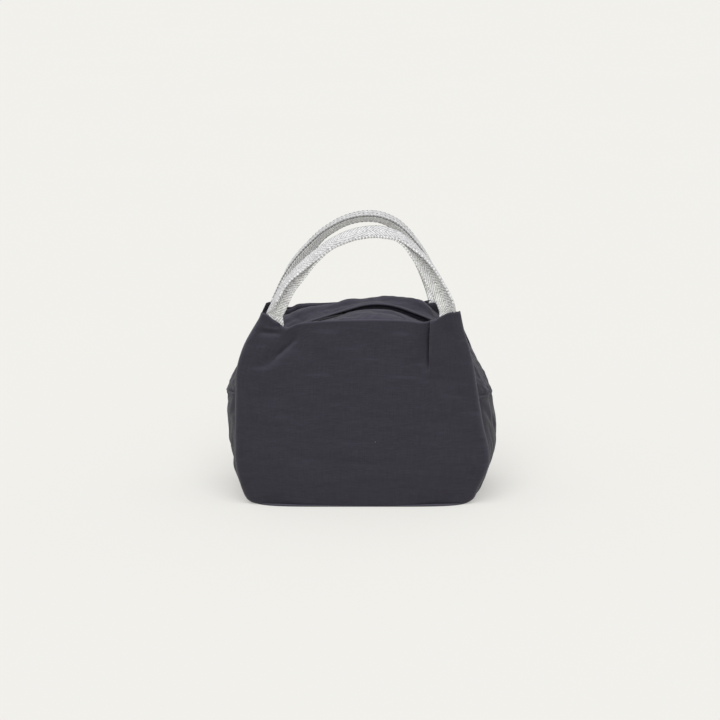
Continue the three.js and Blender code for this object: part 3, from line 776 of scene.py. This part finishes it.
# How far a gusset's edges lie within the panels' edges, and behind the panels' outer faces
GUSSET_WITHIN = 1.4
GUSSET_BEHIND = 4.6
GUSSET_FOLDS = [
    ((-44, 92), (-20, 60), 4.0, -1.5, 10),
    ((40, 94), (24, 58), 4.5, -1.6, 10),
    ((-4, 96), (2, 40), 6.0, 1.2, 14),
]
# Radius of a near-black cord along each side seam: painted shade, which stands for the shadow in the seam's
# groove
SEAM_SHADE_CORD = 0.85
# Column of each canvas half at which it meets the other half
MEETS = {FRONT: -1, BACK: 0}


def gusset_grid(hand, rows, columns, low=0.8, drop=0.0, detail=1.0):
    """Points of a side gusset, from the front seam to the back seam."""
    u = np.linspace(-1, 1, columns)[None, :]
    climb = np.linspace(0, 1, rows)
    climb = 0.35 * climb + 0.65 * np.sin(climb * math.pi / 2)
    seam = side_seam(hand, SEAM_DEPTH * u) - drop
    z = low + climb[:, None] * (seam - low)
    front = np.abs(curve(EDGES[FRONT, hand], z)) - GUSSET_WITHIN
    back = np.abs(curve(EDGES[BACK, hand], z)) - GUSSET_WITHIN
    edge = front * (1 - u) / 2 + back * (1 + u) / 2
    bulge = np.clip(1 - np.abs(u) ** 2.6, 0, 1) ** 0.9
    out = edge + (curve(SIDE_LINE[hand], z) - edge) * bulge
    y = u * (wall_depth(edge, z, edge) - GUSSET_BEHIND)
    soft = step(0, 0.25, 1 - np.abs(u))
    bumps = 0.8 * dents(y, z, 61 + hand, 34) + 0.3 * dents(y * 1.6, z * 0.8, 67 + hand, 15)
    out = out + detail * soft * bumps
    for row in GUSSET_FOLDS:
        out = out + detail * fold(y, z, *row)
    below = seam - z
    hem = 0.5 * np.exp(-(((below - 2.1) / 1.2) ** 2)) - 0.4 * np.exp(-(((below - 5.0) / 1.5) ** 2))
    out = out + detail * hem - 1.7 * edge_fall(below + 0.05, 1.6) - 3.2 * edge_fall(z, 5.0)
    return np.stack([hand * out, y, z], axis=-1)


def gusset_halves(grid):
    """The columns of a gusset's front and back half, which share the middle one."""
    centre = grid.shape[1] // 2
    return (FRONT, slice(0, centre + 1)), (BACK, slice(centre, None))


def build_gussets():
    middle = (0, 0, 60)
    for hand in (LEFT, RIGHT):
        name = HAND[hand]
        whole = gusset_grid(hand, 96, 121)
        core = gusset_grid(hand, 34, 41, low=8.4, drop=2.0, detail=0.6)
        core[..., 1] *= 0.86
        top = whole[-1] + np.array([-0.2 * hand, 0, 0.7])
        # Painted shade: a near-black cord laid in the side seam's groove for its shadow
        for side, part in gusset_halves(whole):
            shade_cord = tube(f"{name}_{HALF[side]}_seam_shade_cord", top[part], SEAM_SHADE_CORD)
            dress(shade_cord, TAPE, None, blend=gusset_blend(side))
        n = normals(core, middle)
        crinkle = 0.35 * dents(core[..., 1], core[..., 2], 71 + hand, 15)[..., None]
        layers = [
            ("canvas_gusset", whole, CANVAS, CANVAS_CLOTH, "canvas", "gusset", 0.35),
            ("side_padding", core - n * PADDING_DEPTH, PADDING, FOAM, "padding", "insulation", 0.35),
            ("side_lining", core - n * (LINING_DEPTH + crinkle), LINING, SILVER, "lining", "lining", None),
        ]
        for label, grid, thickness, material, slot, node, pad in layers:
            inner = grid - normals(grid, middle) * thickness
            uv = weave_map(grid)
            for side, part in gusset_halves(grid):
                obj = sheet_body(
                    f"{name}_{HALF[side]}_{label}", grid[:, part], thickness, middle,
                    uv=uv[:, part], inner=inner[:, part], edge_round=0.0,
                    meets=MEETS[side] if node == "gusset" else None,
                )
                dress(obj, material, slot, f"{name}_{node}", blend=gusset_blend(side), pad=pad)


# Top cover

# Radius from the arch's centre, by angle in degrees, at the lip and half way to the panel
LIP = {
    FRONT: [
        (-66, 138.8), (-62.4, 139.4), (-58.5, 139.6), (-53.6, 140.6), (-47, 139), (-35, 133.8),
        (-25, 130.4), (-20, 129.6), (-15, 129.3), (-8.6, 130.8), (-4.4, 133.1), (-0.4, 134.7), (3.5, 135.7),
        (7.5, 136.6), (11.4, 137), (15.4, 136.8), (19.6, 136.2), (23.1, 136), (28, 137.2), (38, 138.6),
        (47, 139.6), (53, 137.1), (60.5, 135.2), (66, 134.4),
    ],
    BACK: [
        (-66, 138.8), (-62.4, 139.4), (-58.5, 139.6), (-53.6, 140.8), (-47, 139.4), (-35, 134.6),
        (-26, 132.4), (-18.8, 131.2), (-13.1, 131.6), (-8.7, 132.8), (-4.5, 134.5), (-0.4, 136.9),
        (3.5, 138.8), (7.4, 140), (11.3, 140.5), (15.3, 140.4), (19.5, 139.9), (23.6, 140), (27.8, 140.5),
        (38, 140.4), (47, 140.2), (53, 137.7), (60.5, 135.5), (66, 134.7),
    ],
}
CREST = {
    FRONT: [
        (-66, 136.4), (-50, 136.4), (-35, 132.6), (-22, 131.2), (-15, 131), (-8, 131.8), (0, 133.8),
        (8, 135.2), (16, 135), (26, 134), (38, 135.6), (50, 136), (66, 134),
    ],
    BACK: [
        (-66, 136.4), (-50, 137.6), (-38, 139.4), (-28, 141), (-17, 138.8), (-8.3, 138), (-4.4, 138.4),
        (0.4, 139.6), (3.5, 141.2), (7.3, 143), (11, 145), (14.5, 146.9), (17.6, 148.2), (20.5, 149.4),
        (24.2, 149), (27, 146.6), (31, 141.6), (37, 138), (44, 138), (54, 137), (66, 134),
    ],
}


# Folds of the cover's halves, along the arch and by distance from the middle plane, as on the panels
COVER_FOLDS = {
    FRONT: [
        ((-30, 15), (52, 19), 1.8, -0.9, 9),
        ((4, 24), (70, 22), 2.6, 0.8, 9),
    ],
    BACK: [
        ((-75, 17), (40, 14), 2.0, -0.8, 12),
        ((-60, 25), (-5, 22), 2.4, 0.8, 10),
        ((15, 20), (75, 17), 2.2, 0.7, 10),
    ],
}
# The cover's seam with the panels: how far it lies within their side edges, below their top edge, and
# behind their outer faces
COVER_WITHIN = 1.6
COVER_BELOW = 1.6
COVER_BEHIND = 2.6
# How much lower the seam lies behind each ear, and the places across between which that begins
EAR_DROP = {
    (FRONT, LEFT): (6.0, 52, 84), (FRONT, RIGHT): (6.0, 52, 84),
    (BACK, LEFT): (6.0, 52, 84), (BACK, RIGHT): (14.0, 58, 82),
}
# The lips' distance from the middle plane, the reach and the fall of their roll, and the gap to the tape
LIP_DEPTH = 8.2
LIP_ROLL = 3.4
LIP_FALL = 1.2
LIP_GAP = 0.9


def seam_radius(side, angle):
    """Radius at which a ray from the arch's centre meets the cover's seam with the panel."""
    near = np.full_like(angle, 20.0)
    far = np.full_like(angle, 240.0)
    for _ in range(30):
        r = (near + far) / 2
        x, z = r * np.sin(angle), ARCH_CENTRE + r * np.cos(angle)
        top = curve(TOPS[side], x) - COVER_WITHIN - COVER_BELOW
        for hand in (RIGHT, LEFT):
            drop, start, end = EAR_DROP[side, hand]
            top = top - drop * step(start, end, hand * x)
        left = curve(EDGES[side, LEFT], z) + COVER_WITHIN
        right = curve(EDGES[side, RIGHT], z) - COVER_WITHIN
        inside = (x > left) & (x < right) & (z < top)
        near = np.where(inside, r, near)
        far = np.where(inside, far, r)
    wide = len(angle) // 60
    kernel = np.ones(2 * wide + 1) / (2 * wide + 1)
    padded = np.concatenate([np.repeat(near[:1], wide), near, np.repeat(near[-1:], wide)])
    return np.convolve(padded, kernel, "valid")


def seam_end_angle(side, hand):
    """Angle about the arch's centre at which the cover's seam with a panel ends, at the side seam."""
    low = side_seam(hand, SEAM_DEPTH) - COVER_BELOW
    return math.atan2(abs(float(curve(EDGES[side, hand], low))) - COVER_WITHIN, low - ARCH_CENTRE)


def cover_radius(t, seam, crest, lip):
    """Radius of the cover from its seam, where t is 0, over its crest half way to its lip, where t is 1."""
    low = np.clip(t * 2, 0, 1)
    high = np.clip(t * 2 - 1, 0, 1)
    slope = (lip - seam) * 0.5
    first = cubic(low, seam, crest, (crest - seam) * 1.7, slope)
    return np.where(t < 0.5, first, cubic(high, crest, lip, slope, 0))


def rolled_lip(lip):
    """Radius and depth of the rows that roll the lip over and lead it back down to the zip's tape."""
    turn = np.linspace(0, math.pi, 12)[1:, None]
    down = np.array([0.35, 0.7, 1.0])[:, None]
    nose = lip - LIP_FALL * (1 - np.cos(turn))
    back = np.minimum(nose[-1:] + (TAPE_RADIUS + LIP_GAP - nose[-1:]) * down, nose[-1:])
    depth = np.concatenate([LIP_DEPTH - LIP_ROLL * np.sin(turn), LIP_DEPTH + 0.6 * down])
    radius = np.concatenate([nose, back])
    return radius, np.broadcast_to(depth, radius.shape)


def cover_grid(side, columns, rows, roll=True, detail=1.0, reach=1.0):
    """Points of half the top cover, along the arch and from the panel's seam to the lip."""
    angle = COVER_END * np.sin(np.linspace(-1, 1, columns) * 1.35) / math.sin(1.35)
    degrees = np.degrees(angle)
    rise = COVER_END - np.where(angle < 0, seam_end_angle(side, LEFT), seam_end_angle(side, RIGHT))
    rise = rise * (np.abs(angle) / COVER_END) ** 6 * np.sign(angle)
    first_angle = angle - rise
    seam = seam_radius(side, first_angle)
    seam_x, seam_z = seam * np.sin(first_angle), ARCH_CENTRE + seam * np.cos(first_angle)
    half = np.where(seam_x < 0, -curve(EDGES[side, LEFT], seam_z), curve(EDGES[side, RIGHT], seam_z))
    seam_y = wall_depth(seam_x, seam_z, half) - COVER_BEHIND - FOOT_GAP * foot_share(side, seam_x)
    lip = curve(LIP[side], degrees)
    crest = curve(CREST[side], degrees)
    steep = step(25, 50, np.abs(degrees))
    crest = crest * (1 - steep) + np.maximum(seam + 0.9 * (lip - seam), crest) * steep

    t = np.linspace(0, reach, rows)[:, None]
    lean = angle - rise * (1 - t) ** 2
    radius = cover_radius(t, seam, crest, lip)
    y = seam_y + (LIP_DEPTH - seam_y) * t
    arc = ARCH_RADIUS * angle + 0 * t
    soft = step(0, 0.2, t) * step(0, 0.12, 1 - t + 0.06)
    bumps = 0.7 * dents(arc * 0.7, y * 1.5, 81 + side, 24) + 0.25 * dents(arc, y * 2.5, 87, 11)
    radius = radius + detail * soft * bumps
    for row in COVER_FOLDS[side]:
        radius = radius + detail * fold(arc, y, *row)
    above = ARCH_CENTRE + radius * np.cos(lean) - np.where(angle < 0, side_seam(LEFT, y), side_seam(RIGHT, y))
    tuck = 4.5 * (np.clip(1 - above / 2.4, 0, 1) * (np.abs(degrees) > 45)) ** 1.5
    radius = radius - tuck
    if roll:
        roll_radius, roll_y = rolled_lip(lip - tuck[-1:])
        radius = np.concatenate([radius, roll_radius])
        lean = np.concatenate([lean, np.broadcast_to(angle, roll_y.shape)])
        y = np.concatenate([y, roll_y])
    return arch_point(radius, lean, side * y)


# Layers under the cover's canvas
TOP_PADDING_DEPTH = 1.7
TOP_PADDING = 1.9
TOP_LINING_DEPTH = 4.3


def build_cover():
    for side in (FRONT, BACK):
        half = HALF[side]
        outer = cover_grid(side, 260, 40)
        cover = sheet_body(f"{half}_top_cover", outer, CANVAS, ARCH_MIDDLE)
        dress(cover, CANVAS_CLOTH, "canvas", f"{half}_top_placket", blend=opening(side), pad=0.4)
        core = cover_grid(side, 110, 14, roll=False, detail=0.6, reach=0.88)[2:]
        n = normals(core, ARCH_MIDDLE)
        pad = sheet_body(f"{half}_top_padding", core - n * TOP_PADDING_DEPTH, TOP_PADDING, ARCH_MIDDLE)
        dress(pad, FOAM, "padding", f"{half}_top_insulation", blend=opening(side), pad=0.3)
        film = core - n * TOP_LINING_DEPTH
        lining = sheet_body(f"{half}_top_inner_lining", film, LINING, ARCH_MIDDLE)
        dress(lining, SILVER, "lining", f"{half}_top_lining", blend=opening(side))


# Base


# The bag's outline at the floor: half its width and depth, and the power that squares its corners
BASE_HALF_WIDTH = 101.5
BASE_HALF_DEPTH = 59.0
BASE_SQUARENESS = 6
BASE_MARGIN = 4.0


def base_outline(inset, count=132):
    """The bag's outline at the floor, with rounded corners, drawn in by an inset."""
    turn = np.linspace(0, 2 * math.pi, count, endpoint=False)
    across, out = np.cos(turn), np.sin(turn)
    x = (BASE_HALF_WIDTH - inset) * np.sign(across) * np.abs(across) ** (2 / BASE_SQUARENESS)
    y = (BASE_HALF_DEPTH - inset) * np.sign(out) * np.abs(out) ** (2 / BASE_SQUARENESS)
    return np.stack([x, y], 1)


def slab(name, inset, low, high, bulge=0.0, crumple=0.0):
    """A soft slab that fills the outline between two heights, with its upper face crumpled."""
    ring = base_outline(inset)
    middle = ring.mean(0)
    half_way = (low + high) / 2
    corner = (high - low) * 0.18
    shares = [0.35, 0.7, 0.92, 0.985]
    layers = [(share, low) for share in shares] + [(1.0, low + corner), (1.0 + bulge, half_way)]
    layers += [(1.0, high - corner)] + [(share, high) for share in reversed(shares)]
    points = []
    for share, z in layers:
        flat = middle + (ring - middle) * share
        lift = crumple * dents(flat[:, 0], flat[:, 1], 95, 30) * (z > half_way and share < 0.99)
        points.append(np.column_stack([flat, z + lift]))
    count = len(ring)
    stack = np.concatenate(points + [[[middle[0], middle[1], low]], [[middle[0], middle[1], high]]])
    faces = ring_faces(0, len(layers), count)
    last = (len(layers) - 1) * count
    for k in range(count):
        m = (k + 1) % count
        faces.append([len(stack) - 2, m, k])
        faces.append([len(stack) - 1, last + k, last + m])
    return add_object(name, stack, faces, stack[:, :2] * MM)


def build_base():
    canvas = slab("base_canvas", -1.6, 0.0, 1.6, bulge=0.003)
    dress(canvas, CANVAS_CLOTH, "canvas", "base_panel", body="base", pad=0.2)
    board = slab("base_stiff_board", BASE_MARGIN, 1.8, 3.4)
    dress(board, BOARD, "board", "base_board", body="base")
    pad = slab("base_padding", BASE_MARGIN, 3.7, 7.0, bulge=0.002)
    dress(pad, FOAM, "padding", "base_insulation", body="base", pad=0.4)
    lining = slab("base_inner_lining", BASE_MARGIN, 7.3, 7.8, crumple=0.25)
    dress(lining, SILVER, "lining", "base_lining", body="base")


# Zip


# Thickness of the tapes, and their edges' and stitches' distance from the middle plane
TAPE_THICKNESS = 0.7
TAPE_EDGES = 2.9, 12.5
TAPE_STITCHES = 3.9
# Pitch of the teeth, where the first of each half starts, and thickness of their wire and of its ends
TOOTH_PITCH = 1.25
TOOTH_START = {FRONT: 0.25, BACK: 0.75}
WIRE, WIRE_END = 0.36, 0.3
WIRE_SIDES = 8
# A tooth's wire, out from the tape and back: distance from the middle plane, and height over the centre
TOOTH = [(3.0, 0.95), (1.6, 1.05), (0.5, 0.75), (0.15, 0.0), (0.5, -0.75), (1.6, -1.05), (3.0, -0.95)]
TOOTH_RADIUS = TAPE_RADIUS - 0.4
METAL_BEVEL = 0.28


def tooth_points(side, angle):
    """Rings of points round the wire of one tooth."""
    turn = np.linspace(0, 2 * math.pi, WIRE_SIDES, endpoint=False)
    last = len(TOOTH) - 1
    points = []
    for i, (y, height) in enumerate(TOOTH):
        along = unit(np.subtract(TOOTH[min(i + 1, last)], TOOTH[max(i - 1, 0)]))
        thick = WIRE if 0 < i < last else WIRE_END
        radius = TOOTH_RADIUS + height + along[0] * np.cos(turn) * thick
        depth = y - along[1] * np.cos(turn) * thick
        points.extend(arch_point(radius, angle + np.sin(turn) * thick / TAPE_RADIUS, side * depth))
    return points


def build_zip_half(side):
    """Woven tape, teeth and stitches along one side of the zip."""
    half = HALF[side]
    angle = np.linspace(-ZIP_END, ZIP_END, 160)
    across = np.linspace(*TAPE_EDGES, 8)[:, None]
    tape = sheet_body(
        f"{half}_woven_tape", arch_point(TAPE_RADIUS, angle, side * across), TAPE_THICKNESS, ARCH_MIDDLE
    )
    dress(tape, TAPE, "zip_tape", f"{half}_zip_tape", blend=opening(side))

    points, faces = [], []
    for i in range(int(2 * ZIP_END * TAPE_RADIUS / TOOTH_PITCH)):
        for quad in ring_faces(len(points), len(TOOTH), WIRE_SIDES):
            faces.append(quad if side == FRONT else quad[::-1])
        points += tooth_points(side, -ZIP_END + (i + TOOTH_START[side]) * TOOTH_PITCH / TAPE_RADIUS)
    teeth = add_object(f"{half}_zip_teeth", points, faces)
    dress(teeth, NYLON, "zip_coil", f"{half}_zip_coil", blend=opening(side))

    seam = arch_point(TAPE_RADIUS + 0.02, angle, side * TAPE_STITCHES)
    line = stitches(f"{half}_zip_tape_stitches", seam, unit(seam - ARCH_MIDDLE), 1.6, 0.9, 0.22)
    dress(line, DARK_THREAD, None, blend=opening(side))


def build_zip_metal(node, body, label):
    """A metal piece of the zip: its solid from the frame, with small rounded edges."""
    obj = bpy.data.objects.new(label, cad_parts[node].data.copy())
    bpy.context.scene.collection.objects.link(obj)
    bevel = obj.modifiers.new("edges", "BEVEL")
    bevel.width = METAL_BEVEL * MM
    bevel.segments = 3
    bevel.limit_method = "ANGLE"
    graph = bpy.context.evaluated_depsgraph_get()
    mesh = bpy.data.meshes.new_from_object(obj.evaluated_get(graph))
    mesh.polygons.foreach_set("use_smooth", np.full(len(mesh.polygons), True))
    obj.modifiers.clear()
    obj.data = mesh
    dress(obj, METAL, "zip_metal", node, body=body)


def build_zip():
    for side in (FRONT, BACK):
        build_zip_half(side)
    build_zip_metal("left_zip_stop", "base", "left_metal_stop")
    build_zip_metal("right_zip_stop", "base", "right_metal_stop")
    build_zip_metal("zip_slider", "slider", "slider_body")
    build_zip_metal("zip_pull", "pull", "pull_tab")


# Handles

# Crease of each handle, from its left ear to its right one: place across and height
CREASES = {
    FRONT: [
        (-85.4, 165), (-86.3, 171), (-86.6, 178), (-83, 184.9), (-79.5, 192.4), (-75.4, 200),
        (-70.8, 207.4), (-63, 216.4), (-54.4, 225.6), (-43.4, 234.8), (-33.3, 242.6), (-27, 246.9),
        (-18.9, 251), (-9.8, 254.6), (-0.7, 256.7), (8.2, 258), (17.4, 258), (26.2, 256.1), (35.2, 252.5),
        (40.6, 248.9), (44.2, 245.9), (48.6, 241.5), (53.2, 236.9), (57.8, 232), (62.3, 226.5), (67, 219.6),
        (71.5, 212.3), (76.1, 204.5), (80.8, 195.8), (85.4, 185.6), (86.9, 179), (86.6, 174), (86.2, 169.5),
    ],
    BACK: [
        (-84.6, 163), (-85.6, 168), (-85.9, 174), (-83, 181.5), (-79.2, 188.7), (-75.8, 196),
        (-71.9, 202.9), (-67, 210.6), (-62.2, 217.1), (-57.5, 222.5), (-52.8, 227.6), (-48, 232.2),
        (-38.6, 241.2), (-29.2, 247.4), (-19.8, 252.6), (-10.3, 256), (-0.9, 258), (8.5, 258.5),
        (17.8, 257.4), (27, 254.2), (36.4, 248.8), (43, 242.8), (47.8, 237.6), (53.6, 230.8), (60.2, 221.6),
        (66, 211.4), (70.9, 200.7), (75.9, 187.7), (79.6, 175), (80, 168), (79.6, 163),
    ],
}
# Angle in degrees from straight inwards at which each flap leaves the crease, by place across: the
# flap towards the outside of the bag, and the one towards its middle
OUTER_FLAP = {
    FRONT: [
        (-90, 80), (-83, 76), (-76, 76), (-66, 76), (-57, 67), (-38, 62), (-15, 56), (8, 53), (23, 55),
        (35, 66), (46, 75), (55, 83), (64, 89), (76, 91), (88, 92),
    ],
    BACK: [
        (-90, 120), (-80, 86), (-70, 90), (-40, 93), (-15, 97), (8, 100), (36, 99), (52, 95), (66, 92),
        (80, 92),
    ],
}
INNER_FLAP = {
    FRONT: [
        (-88, -2), (-80, 12), (-72, 24), (-66, 27), (-57, 36), (-45, 52), (-36, 58), (-15, 52), (8, 49),
        (23, 51), (35, 60), (46, 58), (56, 42), (64, 30), (76, 14), (88, 0),
    ],
    BACK: [
        (-86, 8), (-76, 20), (-62, 42), (-45, 56), (-25, 61), (8, 62), (30, 60), (44, 50), (56, 34),
        (68, 20), (80, 8),
    ],
}
# Share of its width that the outer flap keeps where it is sewn in, and the crease's roundness
SEWN_FLAP = 0.05
ROUND_OVER = 2.0
# How far each handle's arch leans in over the bag, and how far its crease is pressed inwards
LEAN_IN = {FRONT: 5.0, BACK: 9.0}
CREASE_PRESS = {FRONT: 0.0, BACK: 1.3}
# Rows of stitches along the grips, by place across, and the share of the handle that they run over
GRIP_STITCHES = {
    FRONT: [("outer", STRAP - 1.3), ("inner", 1.3 - STRAP)],
    BACK: [("outer", STRAP - 1.3), ("inner", 1.3 - STRAP), ("upper", 5.4)],
}
GRIP_SHARE = 0.29, 0.71
# The handles' hinges: distance from the middle plane, and the heights given as the two ends of each handle's
# blend
HINGE_DEPTH = 37.5
BEND_HEIGHTS = 173, 191
# Distance of a handle's foot from the bag's middle plane, by height
FOOT_DEPTH = {
    (FRONT, LEFT): [(164, 36.2), (168, 35.8), (172, 35.6), (178, 35.8), (190, 37.8)],
    (FRONT, RIGHT): [(164, 38.2), (168, 38.0), (172, 37.6), (178, 36.6), (190, 37.8)],
    (BACK, LEFT): [(162, 36.4), (168, 36.0), (172, 35.5), (176, 35.4), (190, 37.8)],
    (BACK, RIGHT): [(162, 36.6), (168, 35.8), (172, 35.2), (176, 34.8), (190, 37.8)],
}


def strap_frames(side, count):
    """Crease points in space, the inward and the outward direction at each, and the distance along."""
    line = np.array(CREASES[side])
    run = run_along(line)
    even = np.linspace(0, run[-1], count)
    line = np.stack([curve(np.stack([run, line[:, k]], 1), even) for k in range(2)], 1)
    for _ in range(10):
        line[1:-1] = (line[:-2] + 2 * line[1:-1] + line[2:]) / 4
    rise = np.clip((line[:, 1] - 176) / 85, 0, 1)
    foot = [curve(FOOT_DEPTH[side, hand], line[:, 1]) for hand in (LEFT, RIGHT)]
    y = side * (np.where(line[:, 0] < 0, *foot) - LEAN_IN[side] * rise**1.5)
    points = np.stack([line[:, 0], y, line[:, 1]], 1)
    plane = np.array([0.0, 1.0, 0.0])
    inward = unit(np.cross(np.gradient(points, axis=0), plane))
    to_middle = np.array([10.0, 0.0, 190.0]) - points * np.array([1, 0, 1])
    inward = np.where(np.sum(inward * to_middle, axis=1, keepdims=True) < 0, -inward, inward)
    tilt = step(162, 182, line[:, 1])[:, None]
    level = np.stack([np.sign(-line[:, 0]), 0 * even, 0 * even], 1)
    inward = unit(inward * tilt + level * (1 - tilt))
    return points, inward, side * plane, even


def strap_grid(side, count=190, across=10):
    """Middle face of a handle's webbing, and the places along and across of its rows and columns."""
    points, inward, out, run = strap_frames(side, count)
    sewn = 1 - step(175, 192, points[:, 2])
    outer_turn = curve(OUTER_FLAP[side], points[:, 0]) * (1 - 0.6 * sewn)
    inner_turn = curve(INNER_FLAP[side], points[:, 0]) * (1 - sewn)
    rolled = (1 - (1 - SEWN_FLAP) * sewn)[:, None]

    def direction(degrees):
        turn = np.radians(degrees)[:, None]
        return np.cos(turn) * inward + np.sin(turn) * out

    between_flaps = direction((inner_turn + outer_turn) / 2)
    half = np.array([0.0, 0.45, 1.0, 1.8] + list(np.linspace(3.0, STRAP, across)))
    places = np.concatenate([-half[:0:-1], half])
    grid = []
    for place in places:
        ease = min(1.0, abs(place) / ROUND_OVER)
        soft = ROUND_OVER * (1 - ease) ** 2 * 0.35 + CREASE_PRESS[side] * (place == 0)
        flap = direction(inner_turn) if place < 0 else direction(outer_turn)
        width = abs(place) * (rolled if place > 0 else 1.0)
        grid.append(points + flap * width + between_flaps * soft)
    return np.stack(grid, 1), run, places


def build_handles():
    for side in (FRONT, BACK):
        half = HALF[side]
        grid, run, places = strap_grid(side)
        n = unit(np.cross(np.gradient(grid, axis=1), np.gradient(grid, axis=0)))
        if np.sum(n[:, -3, 1]) * side < 0:
            n = -n
        outer = grid + n * STRAP_THICKNESS / 2
        inner = grid - n * STRAP_THICKNESS / 2
        uv = np.stack(np.meshgrid((places + STRAP) * MM, run * MM), axis=-1)
        strap = sheet_body(
            f"{half}_strap", outer, STRAP_THICKNESS, (0, 0, 0), uv=uv, inner=inner, edge_round=0.35
        )
        ends = [(0, side * HINGE_DEPTH * MM, height * MM) for height in BEND_HEIGHTS]
        dress(strap, WEBBING, "webbing", f"{half}_handle", blend=(WALLS[side], GRIPS[side], *ends))
        share = run / run[-1]
        grip = (share > GRIP_SHARE[0]) & (share < GRIP_SHARE[1])
        for label, place in GRIP_STITCHES[side]:
            k = int(np.argmin(np.abs(places - place)))
            line = stitches(f"{half}_grip_stitches_{label}", outer[grip, k], n[grip, k], 2.6, 1.6, 0.4)
            dress(line, GREY_THREAD, None, body=GRIPS[side])


# Stage


FLOOR_REACH = 60000
# Share of the floor's own glow where the camera sees it, which keeps the object's shadow pale
FLOOR_GLOW = 0.42
# Strength of the sky, colour of the backdrop, and strength, breadth and direction of the sun
SKY = 0.5
BACKDROP = (0.88, 0.871, 0.835, 1)
SUN = 2.25
SUN_BREADTH = math.radians(56)
SUN_DIRECTION = Vector((0.04, 0.70, -1.0))
LENS = 100.5
CAMERA_PLACE = (-0.000945, -1.8487, 0.51885)
CAMERA_TILT = math.radians(78)


def build_floor():
    reach = FLOOR_REACH
    points = [(-reach, -reach, 0), (reach, -reach, 0), (reach, reach, 0), (-reach, reach, 0)]
    floor = add_object("studio_floor", points, [[0, 1, 2, 3]])
    s = Shader("studio_paper")
    mottle = s.noise(s.place(), 1.5, 2.0)
    color = s.mix(mottle, (0.80, 0.793, 0.757, 1), (0.81, 0.803, 0.767, 1))
    s.set(Base_Color=color, Roughness=0.9, Specular_IOR_Level=0.0)
    paper = s.node("Emission", {"Color": s.mix(mottle, (0.892, 0.882, 0.846, 1), (0.902, 0.892, 0.856, 1))})
    glow = s.times(s.seen(), FLOOR_GLOW)
    both = s.node("MixShader", {0: glow, 1: s.bsdf.outputs[0], 2: paper.outputs[0]})
    s.put(s.tree.nodes["Material Output"].inputs[0], both.outputs[0])
    floor.data.materials.append(s.material)


def build_light():
    world = bpy.data.worlds.new("studio")
    bpy.context.scene.world = world
    world.use_nodes = True
    s = Nodes(world.node_tree)
    sky = s.tree.nodes["Background"]
    s.put(sky.inputs["Color"], (1, 1, 1, 1))
    s.put(sky.inputs["Strength"], SKY)
    backdrop = s.node("Background", {"Color": BACKDROP})
    both = s.node("MixShader", {0: s.seen(), 1: sky.outputs[0], 2: backdrop.outputs[0]})
    s.put(s.tree.nodes["World Output"].inputs["Surface"], both.outputs[0])
    sun = bpy.data.lights.new("ceiling_light", "SUN")
    sun.energy = SUN
    sun.angle = SUN_BREADTH
    light = bpy.data.objects.new("ceiling_light", sun)
    light.rotation_euler = SUN_DIRECTION.to_track_quat("-Z", "Y").to_euler()
    bpy.context.scene.collection.objects.link(light)


def build_camera():
    camera = bpy.data.objects.new("camera", bpy.data.cameras.new("camera"))
    bpy.context.scene.collection.objects.link(camera)
    camera.data.lens = LENS
    camera.data.sensor_width = 36
    camera.data.clip_start = 0.01
    camera.location = CAMERA_PLACE
    camera.rotation_euler = (CAMERA_TILT, 0, 0)
    bpy.context.scene.camera = camera


build_floor()
build_light()
build_camera()
build_base()
build_walls()
build_gussets()
build_cover()
build_zip()
build_handles()

bpy.context.scene.view_settings.view_transform = "Standard"
